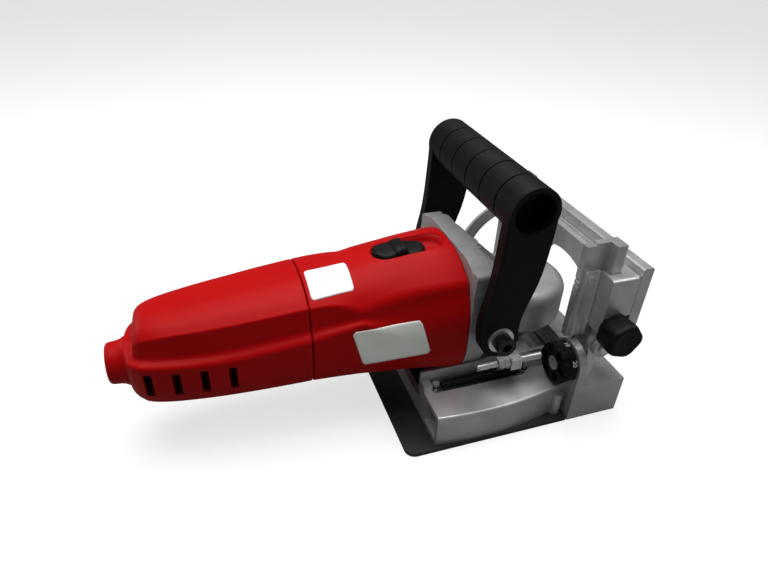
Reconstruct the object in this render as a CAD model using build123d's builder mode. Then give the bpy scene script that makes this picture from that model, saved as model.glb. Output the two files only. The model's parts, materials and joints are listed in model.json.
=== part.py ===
"""Biscuit joiner: a plunging motor unit on a railed base, with a tilting, height-adjustable fence.

X runs forward to the fence, Y to the left side, Z up. The origin is on the underside of the sole,
on the centre line, under the blade spindle with the motor unit at rest. Millimetres.
"""

import os
from math import cos, radians, sin

from build123d import *

os.makedirs("parts", exist_ok=True)

# ---------------------------------------------------------------- driving dimensions
# Base
SOLE_REAR, SOLE_FRONT, SOLE_THICK = -108.0, 12.0, 2.5
HALF_WIDTH = 75.0
RAIL_REAR, RAIL_TOP = -87.0, 27.0
BLOCK_REAR, BLOCK_TOP = 13.0, 30.0
PLATE_REAR, FRONT_FACE = 34.0, 54.0
WELL = 36.0  # half width of the well between the rails
WALL_OUT, WALL_TOP = 38.5, 38.5  # outer face and top of the thin inner rail walls
CHANNEL_OUT, CHANNEL_FLOOR = 48.5, 22.0  # spring channel
GROOVE_DEPTH, GROOVE_LOW, GROOVE_HIGH = 4.0, 17.7, 20.7
CHAMBER_HALF, CHAMBER_REAR, CHAMBER_TOP = 52.5, -52.5, 16.0
SLOT_LOW, SLOT_HIGH, SLOT_HALF = 7.0, 13.0, 50.0  # blade slot in the front plate
GAP = 0.3  # clearance between sliding faces

# Blade and drive
BLADE_R, BLADE_Z, BLADE_BODY, TOOTH_THICK, TOOTH_COUNT = 50.0, 10.0, 2.8, 4.0, 6
SPINDLE_R = 6.0
MOTOR_Z = 76.0  # height of the armature axis
PINION_TEETH, CROWN_TEETH = 10, 30
PINION_TIP_R = 9.0
CROWN_R, CROWN_TIP_Z = 29.5, 66.7

# Casings
SEAM_X, FLANGE_X, FLANGE_FRONT = -160.0, -59.0, -46.0
COVER_END, INLET_END = -269.5, -281.0
INLET_Z, INLET_R, CORD_R = 62.0, 12.5, 4.5
SHELL = 3.0

# Depth stop
DIAL_Y, DIAL_Z, DIAL_R = -59.0, 43.0, 14.5
BRACKET_R, BRACKET_THICK = 16.0, 5.5
ROD_OFFSET, ROD_R = 10.0, 2.5
SPRING_Y, SPRING_Z, SPRING_R = 42.2, 26.6, 3.6

# Handle
GRIP_X, GRIP_Z, GRIP_R = -35.5, 162.0, 16.2
HANDLE_HALF, LEG_THICK = 60.0, 8.0
FOOT_X, FOOT_Z, FOOT_R = -44.0, 74.5, 13.5

# Fence
POST_REAR, POST_FRONT, POST_OUT, POST_IN, FLANGE_IN = 28.0, 36.0, 61.0, 54.0, 49.0
UPRIGHT_REAR, UPRIGHT_TOP = 11.0, 132.0
SLIDER_REAR, SLIDER_FRONT, SLIDER_OUT = 25.0, 45.7, 69.0
SLIDER_LOW, SLIDER_TOP, LEDGE_Z = 70.0, 112.0, 82.5
CHEEK_OUT = 65.0
FENCE_REAR, FENCE_LOW, FENCE_TOP = 46.0, 62.0, 117.6
HINGE_X, HINGE_Z, HINGE_R = 33.0, 57.0, 3.0
ARCH_R, ARCH_Z = 48.0, 44.0
ARC_IN, ARC_OUT, ARC_Y, ARC_THICK = 41.5, 51.5, 63.0, 2.6
HEIGHT_KNOB_Z, KNOB_R, KNOB_LENGTH = 74.5, 13.0, 17.0
TILT_KNOB_Z = HINGE_Z + (ARC_IN + ARC_OUT) / 2


# ---------------------------------------------------------------- shared shapes
def block(x0, x1, y0, y1, z0, z1, mode=Mode.ADD):
    """A box between two corners, inside the open part."""
    with Locations(((x0 + x1) / 2, (y0 + y1) / 2, (z0 + z1) / 2)):
        Box(abs(x1 - x0), abs(y1 - y0), abs(z1 - z0), mode=mode)


def rod_x(x0, x1, y, z, radius, mode=Mode.ADD):
    """A cylinder along X."""
    with Locations(Location(((x0 + x1) / 2, y, z), (0, 90, 0))):
        Cylinder(radius, abs(x1 - x0), mode=mode)


def rod_y(y0, y1, x, z, radius, mode=Mode.ADD):
    """A cylinder along Y."""
    with Locations(Location((x, (y0 + y1) / 2, z), (90, 0, 0))):
        Cylinder(radius, abs(y1 - y0), mode=mode)


def rod_z(z0, z1, x, y, radius, mode=Mode.ADD):
    """A cylinder along Z."""
    with Locations((x, y, (z0 + z1) / 2)):
        Cylinder(radius, abs(z1 - z0), mode=mode)


def hex_x(x0, x1, y, z, radius, mode=Mode.SUBTRACT):
    """A hexagonal prism along X, by default a socket."""
    with BuildSketch(Plane.YZ.offset(x0)) as outline:
        with Locations((y, z)):
            RegularPolygon(radius, 6)
    extrude(outline.sketch, amount=x1 - x0, dir=(1, 0, 0), mode=mode)


def hex_z(z0, z1, x, y, radius, mode=Mode.SUBTRACT):
    """A hexagonal prism along Z, by default a socket."""
    with BuildSketch(Plane.XY.offset(z0)) as outline:
        with Locations((x, y)):
            RegularPolygon(radius, 6)
    extrude(outline.sketch, amount=z1 - z0, dir=(0, 0, 1), mode=mode)


def casing(sections, grow=0.0, mode=Mode.ADD, straight=False):
    """A loft through rounded rectangles across X: (x, half width, bottom, top, corner)."""
    outlines = []
    for x, half, low, high, corner in sections:
        with BuildSketch(Plane.YZ.offset(x)) as outline:
            with Locations((0, (low + high) / 2)):
                RectangleRounded(2 * (half + grow), high - low + 2 * grow, corner + grow)
        outlines.append(outline.sketch)
    loft(outlines, ruled=straight, mode=mode)


def ball_bearing(x_or_z, width, bore, outer, vertical=False):
    """A shielded ring bearing along X through the motor axis, or along Z through the spindle."""
    with BuildPart() as ring:
        if vertical:
            rod_z(x_or_z, x_or_z + width, 0, 0, outer)
            rod_z(x_or_z, x_or_z + width, 0, 0, bore, mode=Mode.SUBTRACT)
        else:
            rod_x(x_or_z, x_or_z + width, 0, MOTOR_Z, outer)
            rod_x(x_or_z, x_or_z + width, 0, MOTOR_Z, bore, mode=Mode.SUBTRACT)
        shield_edges = ring.edges().filter_by(GeomType.CIRCLE)
        chamfer(shield_edges, 0.4)
    return ring.part


# ---------------------------------------------------------------- base
SOLE_HOLES = [(-70.0, 44.0), (-45.0, 62.0), (4.0, 58.0)]
SOLE_HEAD_R, SOLE_SHANK_R, SOLE_SCREW_TOP = 4.0, 1.95, 9.5
PLATE_SCREW_Y, PLATE_SCREW_ZS = 64.0, (8.0, 22.0)
PLATE_HEAD_R, PLATE_SHANK_R = 4.0, 2.45
UPRIGHT_SCREW_X, UPRIGHT_SCREW_Y = 30.4, 57.0
UPRIGHT_HEAD_R, UPRIGHT_SHANK_R = 3.5, 1.95
DETENT_Z = DIAL_Z - 11.0

with BuildPart() as base_frame:
    # Right rail, its outer wall drawn in towards the front
    with BuildSketch(Plane.XY.offset(SOLE_THICK)):
        with BuildLine():
            Polyline((BLOCK_REAR, -64.5), (BLOCK_REAR, -WELL), (RAIL_REAR, -WELL), (RAIL_REAR, -71.5))
            Spline((RAIL_REAR, -71.5), (-58.0, -73.4), (-30.0, -72.4), (-6.0, -68.4), (BLOCK_REAR, -64.5))
        make_face()
    extrude(amount=RAIL_TOP - SOLE_THICK)
    fillet(base_frame.edges().group_by(Axis.Z)[-1].sort_by(Axis.Y)[0], 1.6)
    # Inner wall beside the spring channel
    block(RAIL_REAR, BLOCK_REAR, -WALL_OUT, -WELL, CHANNEL_FLOOR, WALL_TOP)
    block(RAIL_REAR + 6.4, BLOCK_REAR, -CHANNEL_OUT, -WALL_OUT, CHANNEL_FLOOR, RAIL_TOP + 1,
          mode=Mode.SUBTRACT)
    block(RAIL_REAR, RAIL_REAR + 6, -46.0, -WALL_OUT, RAIL_TOP, RAIL_TOP + 4.5)
    # Front block, down to the level of the sole
    block(BLOCK_REAR, PLATE_REAR, -HALF_WIDTH, -WELL, 0, BLOCK_TOP)
    rod_z(SOLE_THICK, 20.0, 7.0, -66.0, 4.0)
    # Blade chamber, casting pocket and guide groove
    block(CHAMBER_REAR, PLATE_REAR, -CHAMBER_HALF, -WELL + 1, SOLE_THICK, CHAMBER_TOP, mode=Mode.SUBTRACT)
    block(RAIL_REAR, -56.0, -68.0, -50.5, 6.0, 23.5, mode=Mode.SUBTRACT)
    block(RAIL_REAR, PLATE_REAR, -WELL - GROOVE_DEPTH, -WELL, GROOVE_LOW, GROOVE_HIGH, mode=Mode.SUBTRACT)
    mirror(about=Plane.XZ)
    # Rear tie wall and the thin floor under the front of the blade chamber
    block(RAIL_REAR, RAIL_REAR + 4, -WELL, WELL, SOLE_THICK, 15.5)
    block(BLOCK_REAR, PLATE_REAR, -WELL, WELL, 0, SOLE_THICK)
    # Bracket of the depth dial, right side only
    with BuildSketch(Plane.YZ.offset(BLOCK_REAR)):
        with Locations((DIAL_Y, DIAL_Z)):
            Circle(BRACKET_R)
        with Locations((DIAL_Y, (DIAL_Z + 20.0) / 2)):
            Rectangle(2 * BRACKET_R, DIAL_Z - 20.0)
    extrude(amount=BRACKET_THICK)
    rod_x(BLOCK_REAR, BLOCK_REAR + 9, DIAL_Y + ROD_OFFSET, DIAL_Z, ROD_R + 0.7, mode=Mode.SUBTRACT)
    rod_x(BLOCK_REAR, BLOCK_REAR + 9, DIAL_Y, DIAL_Z, 2.55, mode=Mode.SUBTRACT)
    rod_x(BLOCK_REAR, BLOCK_REAR + 5, DIAL_Y, DETENT_Z, 1.7, mode=Mode.SUBTRACT)
    # Screw holes: sole from below, front plate from the front, uprights from below
    for hole_x, hole_y in SOLE_HOLES:
        for side in (-1, 1):
            rod_z(SOLE_THICK, SOLE_SCREW_TOP + 1, hole_x, side * hole_y, 2.0, mode=Mode.SUBTRACT)
    for side in (-1, 1):
        for screw_z in PLATE_SCREW_ZS:
            rod_x(19.0, PLATE_REAR, side * PLATE_SCREW_Y, screw_z, 2.5, mode=Mode.SUBTRACT)
        screw_y = side * UPRIGHT_SCREW_Y
        rod_z(0, BLOCK_TOP, UPRIGHT_SCREW_X, screw_y, UPRIGHT_SHANK_R + 0.05, mode=Mode.SUBTRACT)
        rod_z(0, 6.0, UPRIGHT_SCREW_X, screw_y, UPRIGHT_HEAD_R + 0.05, mode=Mode.SUBTRACT)
        rod_z(16.5, 30.0, -77.0, side * SPRING_Y, 1.25, mode=Mode.SUBTRACT)
base_frame.part.label = "base_frame"
export_step(base_frame.part, "parts/base_frame.step")

with BuildPart() as front_plate:
    block(PLATE_REAR, FRONT_FACE, -HALF_WIDTH, HALF_WIDTH, 0, BLOCK_TOP)
    chamfer(front_plate.faces().sort_by(Axis.X)[-1].edges(), 0.8)
    block(PLATE_REAR, FRONT_FACE, -SLOT_HALF, SLOT_HALF, SLOT_LOW, SLOT_HIGH, mode=Mode.SUBTRACT)
    for side in (-1, 1):
        for screw_z in PLATE_SCREW_ZS:
            rod_x(PLATE_REAR, FRONT_FACE, side * PLATE_SCREW_Y, screw_z, 2.5, mode=Mode.SUBTRACT)
            rod_x(FRONT_FACE - 5.5, FRONT_FACE, side * PLATE_SCREW_Y, screw_z, 4.1, mode=Mode.SUBTRACT)
front_plate.part.label = "front_plate"
export_step(front_plate.part, "parts/front_plate.step")

with BuildPart() as sole_plate:
    block(SOLE_REAR, SOLE_FRONT, -HALF_WIDTH, HALF_WIDTH, 0, SOLE_THICK)
    fillet(sole_plate.edges().filter_by(Axis.Z).group_by(Axis.X)[0], 7.0)
    for hole_x, hole_y in SOLE_HOLES:
        for side in (-1, 1):
            with Locations(Location((hole_x, side * hole_y, 0), (180, 0, 0))):
                CounterSinkHole(radius=2.1, counter_sink_radius=SOLE_HEAD_R + 0.1, depth=SOLE_THICK)
sole_plate.part.label = "sole_plate"
export_step(sole_plate.part, "parts/sole_plate.step")

with BuildPart() as sole_screws:
    for hole_x, hole_y in SOLE_HOLES:
        for side in (-1, 1):
            with BuildSketch(Plane.XZ.offset(-side * hole_y)):
                with BuildLine():
                    Polyline(
                        (hole_x, 0.1),
                        (hole_x + SOLE_HEAD_R - 0.1, 0.1),
                        (hole_x + SOLE_SHANK_R, 2.1),
                        (hole_x + SOLE_SHANK_R, SOLE_SCREW_TOP),
                        (hole_x, SOLE_SCREW_TOP),
                        close=True,
                    )
                make_face()
            revolve(axis=Axis((hole_x, side * hole_y, 0), (0, 0, 1)))
sole_screws.part.label = "sole_screws"
export_step(sole_screws.part, "parts/sole_screws.step")

with BuildPart() as front_plate_screws:
    for side in (-1, 1):
        for screw_z in PLATE_SCREW_ZS:
            rod_x(20.0, FRONT_FACE - 5, side * PLATE_SCREW_Y, screw_z, PLATE_SHANK_R)
            rod_x(FRONT_FACE - 5.4, FRONT_FACE - 0.4, side * PLATE_SCREW_Y, screw_z, PLATE_HEAD_R)
            hex_x(FRONT_FACE - 3.0, FRONT_FACE - 0.4, side * PLATE_SCREW_Y, screw_z, 2.2)
front_plate_screws.part.label = "front_plate_screws"
export_step(front_plate_screws.part, "parts/front_plate_screws.step")

with BuildPart() as right_upright:
    with BuildSketch(Plane.XY.offset(BLOCK_TOP)):
        with BuildLine():
            Polyline(
                (UPRIGHT_REAR, -POST_IN),
                (POST_REAR, -POST_IN),
                (POST_REAR, -POST_OUT),
                (POST_FRONT, -POST_OUT),
                (POST_FRONT, -FLANGE_IN),
                (UPRIGHT_REAR, -FLANGE_IN),
                close=True,
            )
        make_face()
    extrude(amount=UPRIGHT_TOP - BLOCK_TOP)
    # Narrow foot beside the dial bracket, and the notched rear edge
    block(UPRIGHT_REAR, 19.5, -POST_IN, -FLANGE_IN, BLOCK_TOP, 60.5, mode=Mode.SUBTRACT)
    for notch_z in (101.0, 105.0):
        rod_y(-POST_IN, -FLANGE_IN, UPRIGHT_REAR - 1.3, notch_z, 1.9, mode=Mode.SUBTRACT)
    fillet(right_upright.edges().filter_by(Axis.Z).group_by(Axis.Y)[0], 0.8)
    with BuildSketch(Plane.XZ.offset(FLANGE_IN - 1)):
        with Locations((UPRIGHT_REAR, UPRIGHT_TOP)):
            Rectangle(14.0, 3.0)
    extrude(amount=20, mode=Mode.SUBTRACT)
    rod_z(BLOCK_TOP, 46.0, UPRIGHT_SCREW_X, -UPRIGHT_SCREW_Y, UPRIGHT_SHANK_R + 0.05, mode=Mode.SUBTRACT)
    rod_y(-POST_IN, -POST_IN + 3, 19.2, 106.0, 1.5, mode=Mode.SUBTRACT)
    rod_y(-POST_IN, -POST_IN + 3, 19.2, 66.0, 1.5, mode=Mode.SUBTRACT)
right_upright.part.label = "right_upright"
export_step(right_upright.part, "parts/right_upright.step")

with BuildPart() as left_upright:
    mirror(right_upright.part, about=Plane.XZ)
left_upright.part.label = "left_upright"
export_step(left_upright.part, "parts/left_upright.step")

with BuildPart() as upright_screws:
    for side in (-1, 1):
        rod_z(0.6, 5.8, UPRIGHT_SCREW_X, side * UPRIGHT_SCREW_Y, UPRIGHT_HEAD_R)
        rod_z(5.8, 45.0, UPRIGHT_SCREW_X, side * UPRIGHT_SCREW_Y, UPRIGHT_SHANK_R)
        hex_z(0.6, 3.2, UPRIGHT_SCREW_X, side * UPRIGHT_SCREW_Y, 1.9)
upright_screws.part.label = "upright_screws"
export_step(upright_screws.part, "parts/upright_screws.step")

SCALE_LOW, SCALE_HIGH, SCALE_REAR, SCALE_FRONT = 61.0, 112.0, 13.7, 24.7
with BuildPart() as height_scale:
    block(SCALE_REAR, SCALE_FRONT, -POST_IN - 1.2, -POST_IN, SCALE_LOW, SCALE_HIGH)
    for rib_x in (SCALE_REAR, SCALE_FRONT - 1.0):
        block(rib_x, rib_x + 1.0, -POST_IN - 2.4, -POST_IN - 1.2, SCALE_LOW, SCALE_HIGH)
    for tick in range(9):
        length = 3.4 if tick % 4 == 0 else 2.2
        tick_z = 70.0 + 3.6 * tick
        block(SCALE_REAR + 1.2, SCALE_REAR + 1.2 + length, -POST_IN - 1.4, -POST_IN - 1.0, tick_z, tick_z + 0.5,
              mode=Mode.SUBTRACT)
    for hole_z in (66.0, 106.0):
        rod_y(-POST_IN, -POST_IN - 3, 19.2, hole_z, 1.5, mode=Mode.SUBTRACT)
height_scale.part.label = "height_scale"
export_step(height_scale.part, "parts/height_scale.step")

with BuildPart() as scale_screws:
    for hole_z in (66.0, 106.0):
        rod_y(-POST_IN + 2.8, -POST_IN - 1.2, 19.2, hole_z, 1.45)
        rod_y(-POST_IN - 1.2, -POST_IN - 2.6, 19.2, hole_z, 2.7)
        block(19.2 - 2.2, 19.2 + 2.2, -POST_IN - 2.7, -POST_IN - 2.1, hole_z - 0.35, hole_z + 0.35,
              mode=Mode.SUBTRACT)
scale_screws.part.label = "scale_screws"
export_step(scale_screws.part, "parts/scale_screws.step")

SPRING_REAR, SPRING_FRONT = -77.0, -8.0
with BuildPart() as right_return_spring:
    rod_x(SPRING_REAR + 5, SPRING_FRONT - 4.5, -SPRING_Y, SPRING_Z, SPRING_R)
    rod_x(SPRING_REAR + 2.4, SPRING_REAR + 5, -SPRING_Y, SPRING_Z, 0.6)
    rod_x(SPRING_FRONT - 4.5, SPRING_FRONT - 2.3, -SPRING_Y, SPRING_Z, 0.6)
    for eye_x in (SPRING_REAR, SPRING_FRONT):
        with Locations((eye_x, -SPRING_Y, SPRING_Z)):
            Torus(2.3, 0.6)
right_return_spring.part.label = "right_return_spring"
export_step(right_return_spring.part, "parts/right_return_spring.step")

with BuildPart() as left_return_spring:
    mirror(right_return_spring.part, about=Plane.XZ)
left_return_spring.part.label = "left_return_spring"
export_step(left_return_spring.part, "parts/left_return_spring.step")

with BuildPart() as spring_anchor_pins:
    for side in (-1, 1):
        rod_z(16.5, SPRING_Z + 3.4, SPRING_REAR, side * SPRING_Y, 1.2)
        rod_z(SPRING_Z + 2.0, SPRING_Z + 3.4, SPRING_REAR, side * SPRING_Y, 2.4)
spring_anchor_pins.part.label = "spring_anchor_pins"
export_step(spring_anchor_pins.part, "parts/spring_anchor_pins.step")

# ---------------------------------------------------------------- depth dial
DIAL_REAR, DIAL_FRONT = 2.0, 12.7
STEP_DEPTHS = [None, 1.5, 3.0, None, 4.5, 6.0]  # None is a hole for full depth
with BuildPart() as depth_dial:
    rod_x(DIAL_REAR, DIAL_FRONT, DIAL_Y, DIAL_Z, DIAL_R)
    chamfer(depth_dial.edges().filter_by(GeomType.CIRCLE), 0.7)
    # Finger scallops round the rear half of the rim
    for index in range(9):
        angle = radians(20.0 + 40.0 * index)
        scallop_y, scallop_z = DIAL_Y + 17.9 * cos(angle), DIAL_Z + 17.9 * sin(angle)
        rod_x(DIAL_REAR - 1, DIAL_REAR + 4.5, scallop_y, scallop_z, 4.2, mode=Mode.SUBTRACT)
    for index, depth in enumerate(STEP_DEPTHS):
        angle = radians(60.0 * index)
        step_y, step_z = DIAL_Y + ROD_OFFSET * cos(angle), DIAL_Z + ROD_OFFSET * sin(angle)
        end_x = DIAL_FRONT if depth is None else DIAL_REAR + depth
        rod_x(DIAL_REAR - 1, end_x, step_y, step_z, ROD_R + 0.7, mode=Mode.SUBTRACT)
    rod_x(DIAL_REAR, DIAL_FRONT, DIAL_Y, DIAL_Z, 3.05, mode=Mode.SUBTRACT)
    rod_x(DIAL_REAR - 1, DIAL_REAR + 2.0, DIAL_Y, DIAL_Z, 5.3, mode=Mode.SUBTRACT)
depth_dial.part.label = "depth_dial"
export_step(depth_dial.part, "parts/depth_dial.step")

with BuildPart() as dial_screw:
    rod_x(DIAL_REAR + 0.2, DIAL_REAR + 1.9, DIAL_Y, DIAL_Z, 5.0)
    rod_x(DIAL_REAR + 1.9, BLOCK_REAR, DIAL_Y, DIAL_Z, 3.0)
    rod_x(BLOCK_REAR, BLOCK_REAR + 5.5, DIAL_Y, DIAL_Z, 2.5)
    block(DIAL_REAR, DIAL_REAR + 1.0, DIAL_Y - 4.6, DIAL_Y + 4.6, DIAL_Z - 0.5, DIAL_Z + 0.5,
          mode=Mode.SUBTRACT)
dial_screw.part.label = "dial_screw"
export_step(dial_screw.part, "parts/dial_screw.step")

with BuildPart() as detent_ball:
    with Locations((14.4, DIAL_Y, DETENT_Z)):
        Sphere(1.55)
detent_ball.part.label = "detent_ball"
export_step(detent_ball.part, "parts/detent_ball.step")

with BuildPart() as detent_spring:
    rod_x(16.0, 17.9, DIAL_Y, DETENT_Z, 1.4)
detent_spring.part.label = "detent_spring"
export_step(detent_spring.part, "parts/detent_spring.step")

# ---------------------------------------------------------------- motor unit: slide and gear case
PLATE_LOW, PLATE_HIGH = 16.5, 22.0
SLIDE_REAR, SLIDE_FRONT = -62.0, 14.0
FOOT_SCREWS = [(-54.0, 26.0), (9.0, 26.0)]
BEARING_OUTER = 13.0
UPPER_BEARING_OUTER = 8.0

with BuildPart() as slide_plate:
    block(SLIDE_REAR, SLIDE_FRONT, -WELL + GAP, WELL - GAP, PLATE_LOW, PLATE_HIGH)
    fillet(slide_plate.edges().filter_by(Axis.Z), 2.0)
    for side in (-1, 1):
        tongue = WELL + GROOVE_DEPTH - GAP
        block(SLIDE_REAR + 4, SLIDE_FRONT - 4, side * (WELL - 1), side * tongue,
              GROOVE_LOW + 0.2, GROOVE_HIGH - 0.2)
    rod_z(PLATE_LOW, PLATE_HIGH, 0, 0, 16.0, mode=Mode.SUBTRACT)
    for screw_x, screw_y in FOOT_SCREWS:
        for side in (-1, 1):
            rod_z(PLATE_LOW, PLATE_HIGH, screw_x, side * screw_y, 2.1, mode=Mode.SUBTRACT)
            rod_z(PLATE_LOW, PLATE_LOW + 3, screw_x, side * screw_y, 3.6, mode=Mode.SUBTRACT)
slide_plate.part.label = "slide_plate"
export_step(slide_plate.part, "parts/slide_plate.step")

with BuildPart() as slide_screws:
    for screw_x, screw_y in FOOT_SCREWS:
        for side in (-1, 1):
            rod_z(PLATE_LOW + 0.2, PLATE_LOW + 2.9, screw_x, side * screw_y, 3.5)
            rod_z(PLATE_LOW + 2.9, PLATE_HIGH + 7, screw_x, side * screw_y, 2.0)
            hex_z(PLATE_LOW + 0.2, PLATE_LOW + 1.8, screw_x, side * screw_y, 1.8)
slide_screws.part.label = "slide_screws"
export_step(slide_screws.part, "parts/slide_screws.step")

FLANGE_SECTION = (46.5, 36.5, 119.5, 21.0)  # half width, bottom, top, corner of the gear case flange
FLANGE_SCREWS = [(-34.0, 50.0), (34.0, 50.0), (-34.0, 101.0), (34.0, 101.0)]
HEAD_SEAT = -50.5  # face the flange screws' heads bear on
NOSE_R, NOSE_TOP, NECK_R = 35.0, 83.0, 15.5
STUD_Y = 49.5  # outer face of the handle studs
HUB_REAR, HUB_R = -69.0, 17.0
BOSS_X, BOSS_TOP = -45.0, 113.5
LOCK_Z = 62.5
with BuildPart() as screw_box:
    block(FLANGE_X + 0.5, FLANGE_FRONT + 1.0, -46.0, -32.0, 97.0, 115.0)
    fillet(screw_box.edges().filter_by(Axis.X).group_by(Axis.Z)[-1].sort_by(Axis.Y)[0], 3.0)
    mirror(about=Plane.XZ)

with BuildPart() as gear_housing:
    half, low, high, corner = FLANGE_SECTION
    # Flange with its upper screw boxes, tapering body, and round nose over the crown gear
    casing([(FLANGE_X, half, low, high, corner), (FLANGE_FRONT, half, low, high, corner)])
    add(screw_box.part)
    casing([(FLANGE_FRONT, 43.5, 40.0, 114.0, 16.0), (-38.0, 40.0, 42.0, 111.5, 15.0),
            (-24.0, 33.0, 48.0, 95.0, 14.0), (-4.0, 27.0, 52.0, 82.0, 13.0)])
    with BuildSketch(Plane.XZ):
        with BuildLine():
            Polyline((0, PLATE_HIGH), (NECK_R, PLATE_HIGH), (NECK_R, 32.0))
            Spline((NECK_R, 32.0), (24.0, 43.5), (NOSE_R, 57.0), tangents=((0.6, 1.0), (0.15, 1.0)))
            Line((NOSE_R, 57.0), (NOSE_R, 74.5))
            RadiusArc((NOSE_R, 74.5), (27.5, NOSE_TOP - 1.2), -8.0)
            Polyline((27.5, NOSE_TOP - 1.2), (0, NOSE_TOP), (0, PLATE_HIGH))
        make_face()
    revolve(axis=Axis.Z)
    # Foot on the slide plate
    block(SLIDE_REAR + 2, SLIDE_FRONT - 1, -31.0, 31.0, PLATE_HIGH, PLATE_HIGH + 6)
    block(FLANGE_X, -8.0, -14.0, 14.0, PLATE_HIGH + 6, 48.0)
    # Hollow inside, pocket behind the flange, bearing hub
    casing([(FLANGE_FRONT + 0.5, 28.0, 46.0, 107.0, 12.0), (-38.0, 28.0, 47.0, 104.5, 12.0),
            (-24.0, 26.0, 53.0, 88.5, 11.0), (-14.0, 25.0, 56.0, 78.0, 9.0)], mode=Mode.SUBTRACT)
    rod_x(FLANGE_X, -51.0, 0, MOTOR_Z, 30.0, mode=Mode.SUBTRACT)
    rod_x(HUB_REAR, -49.0, 0, MOTOR_Z, HUB_R)
    # Handle studs, top boss and the two ribs that run down to the nose
    for side in (-1, 1):
        rod_y(side * 28.0, side * STUD_Y, FOOT_X, FOOT_Z, 9.5)
        with BuildSketch(Plane.XZ.offset(side * 8.0)):
            with BuildLine():
                Polyline((-44.0, 110.0), (-38.0, 113.0), (-10.0, 87.5), (-10.0, 80.0), (-24.0, 89.5),
                         (-38.0, 106.0), (-44.0, 109.0), close=True)
            make_face()
        extrude(amount=1.2, both=True)
    rod_z(95.0, BOSS_TOP, BOSS_X, 0, 8.5)
    # Gear chamber, shaft tunnel, bearing seats
    rod_z(56.5, 69.5, 0, 0, 31.0, mode=Mode.SUBTRACT)
    rod_x(-57.0, -9.5, 0, MOTOR_Z, 10.5, mode=Mode.SUBTRACT)
    rod_x(HUB_REAR, -55.0, 0, MOTOR_Z, BEARING_OUTER + 0.02, mode=Mode.SUBTRACT)
    rod_z(69.0, 80.0, 0, 0, 11.0)
    rod_z(69.0, 80.0, 0, 0, UPPER_BEARING_OUTER + 0.02, mode=Mode.SUBTRACT)
    rod_z(PLATE_HIGH, 40.0, 0, 0, BEARING_OUTER + 0.02, mode=Mode.SUBTRACT)
    rod_z(40.0, 57.0, 0, 0, 8.5, mode=Mode.SUBTRACT)
    # Threaded top boss, handle bolts, flange screws, foot screws
    rod_z(BOSS_TOP - 14, BOSS_TOP, BOSS_X, 0, 4.0, mode=Mode.SUBTRACT)
    for side in (-1, 1):
        rod_y(side * 30.0, side * STUD_Y, FOOT_X, FOOT_Z, 4.0, mode=Mode.SUBTRACT)
    for screw_y, screw_z in FLANGE_SCREWS:
        rod_x(FLANGE_X, HEAD_SEAT, screw_y, screw_z, 2.1, mode=Mode.SUBTRACT)
        rod_x(HEAD_SEAT, -26.0, screw_y, screw_z, 4.2, mode=Mode.SUBTRACT)
    for screw_x, screw_y in FOOT_SCREWS:
        for side in (-1, 1):
            rod_z(PLATE_HIGH, PLATE_HIGH + 6, screw_x, side * screw_y, 2.05, mode=Mode.SUBTRACT)
    # Spindle lock guide on the left of the nose
    rod_y(33.0, 38.8, 0, LOCK_Z, 6.6)
    rod_y(28.0, 41.0, 0, LOCK_Z, 3.1, mode=Mode.SUBTRACT)
    rod_y(35.2, 41.0, 0, LOCK_Z, 5.3, mode=Mode.SUBTRACT)
gear_housing.part.label = "gear_housing"
export_step(gear_housing.part, "parts/gear_housing.step")

with BuildPart() as flange_screws:
    for screw_y, screw_z in FLANGE_SCREWS:
        rod_x(HEAD_SEAT + 0.1, HEAD_SEAT + 3.3, screw_y, screw_z, 3.8)
        rod_x(FLANGE_X - 14, HEAD_SEAT + 0.1, screw_y, screw_z, 2.0)
        block(HEAD_SEAT + 2.5, HEAD_SEAT + 3.4, screw_y - 3.0, screw_y + 3.0, screw_z - 0.45, screw_z + 0.45,
              mode=Mode.SUBTRACT)
flange_screws.part.label = "flange_screws"
export_step(flange_screws.part, "parts/flange_screws.step")

with BuildPart() as bearing_cover:
    rod_z(26.5, 30.8, 0, 0, BEARING_OUTER)
    rod_z(26.5, 30.8, 0, 0, 7.2, mode=Mode.SUBTRACT)
    chamfer(bearing_cover.edges().group_by(Axis.Z)[0], 0.6)
bearing_cover.part.label = "bearing_cover"
export_step(bearing_cover.part, "parts/bearing_cover.step")

lower_bearing = ball_bearing(31.0, 9.0, SPINDLE_R + 0.05, BEARING_OUTER, vertical=True)
lower_bearing.label = "lower_bearing"
export_step(lower_bearing, "parts/lower_bearing.step")

upper_bearing = ball_bearing(70.0, 8.0, 5.05, UPPER_BEARING_OUTER, vertical=True)
upper_bearing.label = "upper_bearing"
export_step(upper_bearing, "parts/upper_bearing.step")

front_bearing = ball_bearing(-66.0, 10.0, 6.05, BEARING_OUTER)
front_bearing.label = "front_bearing"
export_step(front_bearing, "parts/front_bearing.step")

REAR_BEARING_X = -200.0
rear_bearing = ball_bearing(REAR_BEARING_X, 8.0, 4.05, 9.5)
rear_bearing.label = "rear_bearing"
export_step(rear_bearing, "parts/rear_bearing.step")

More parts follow.
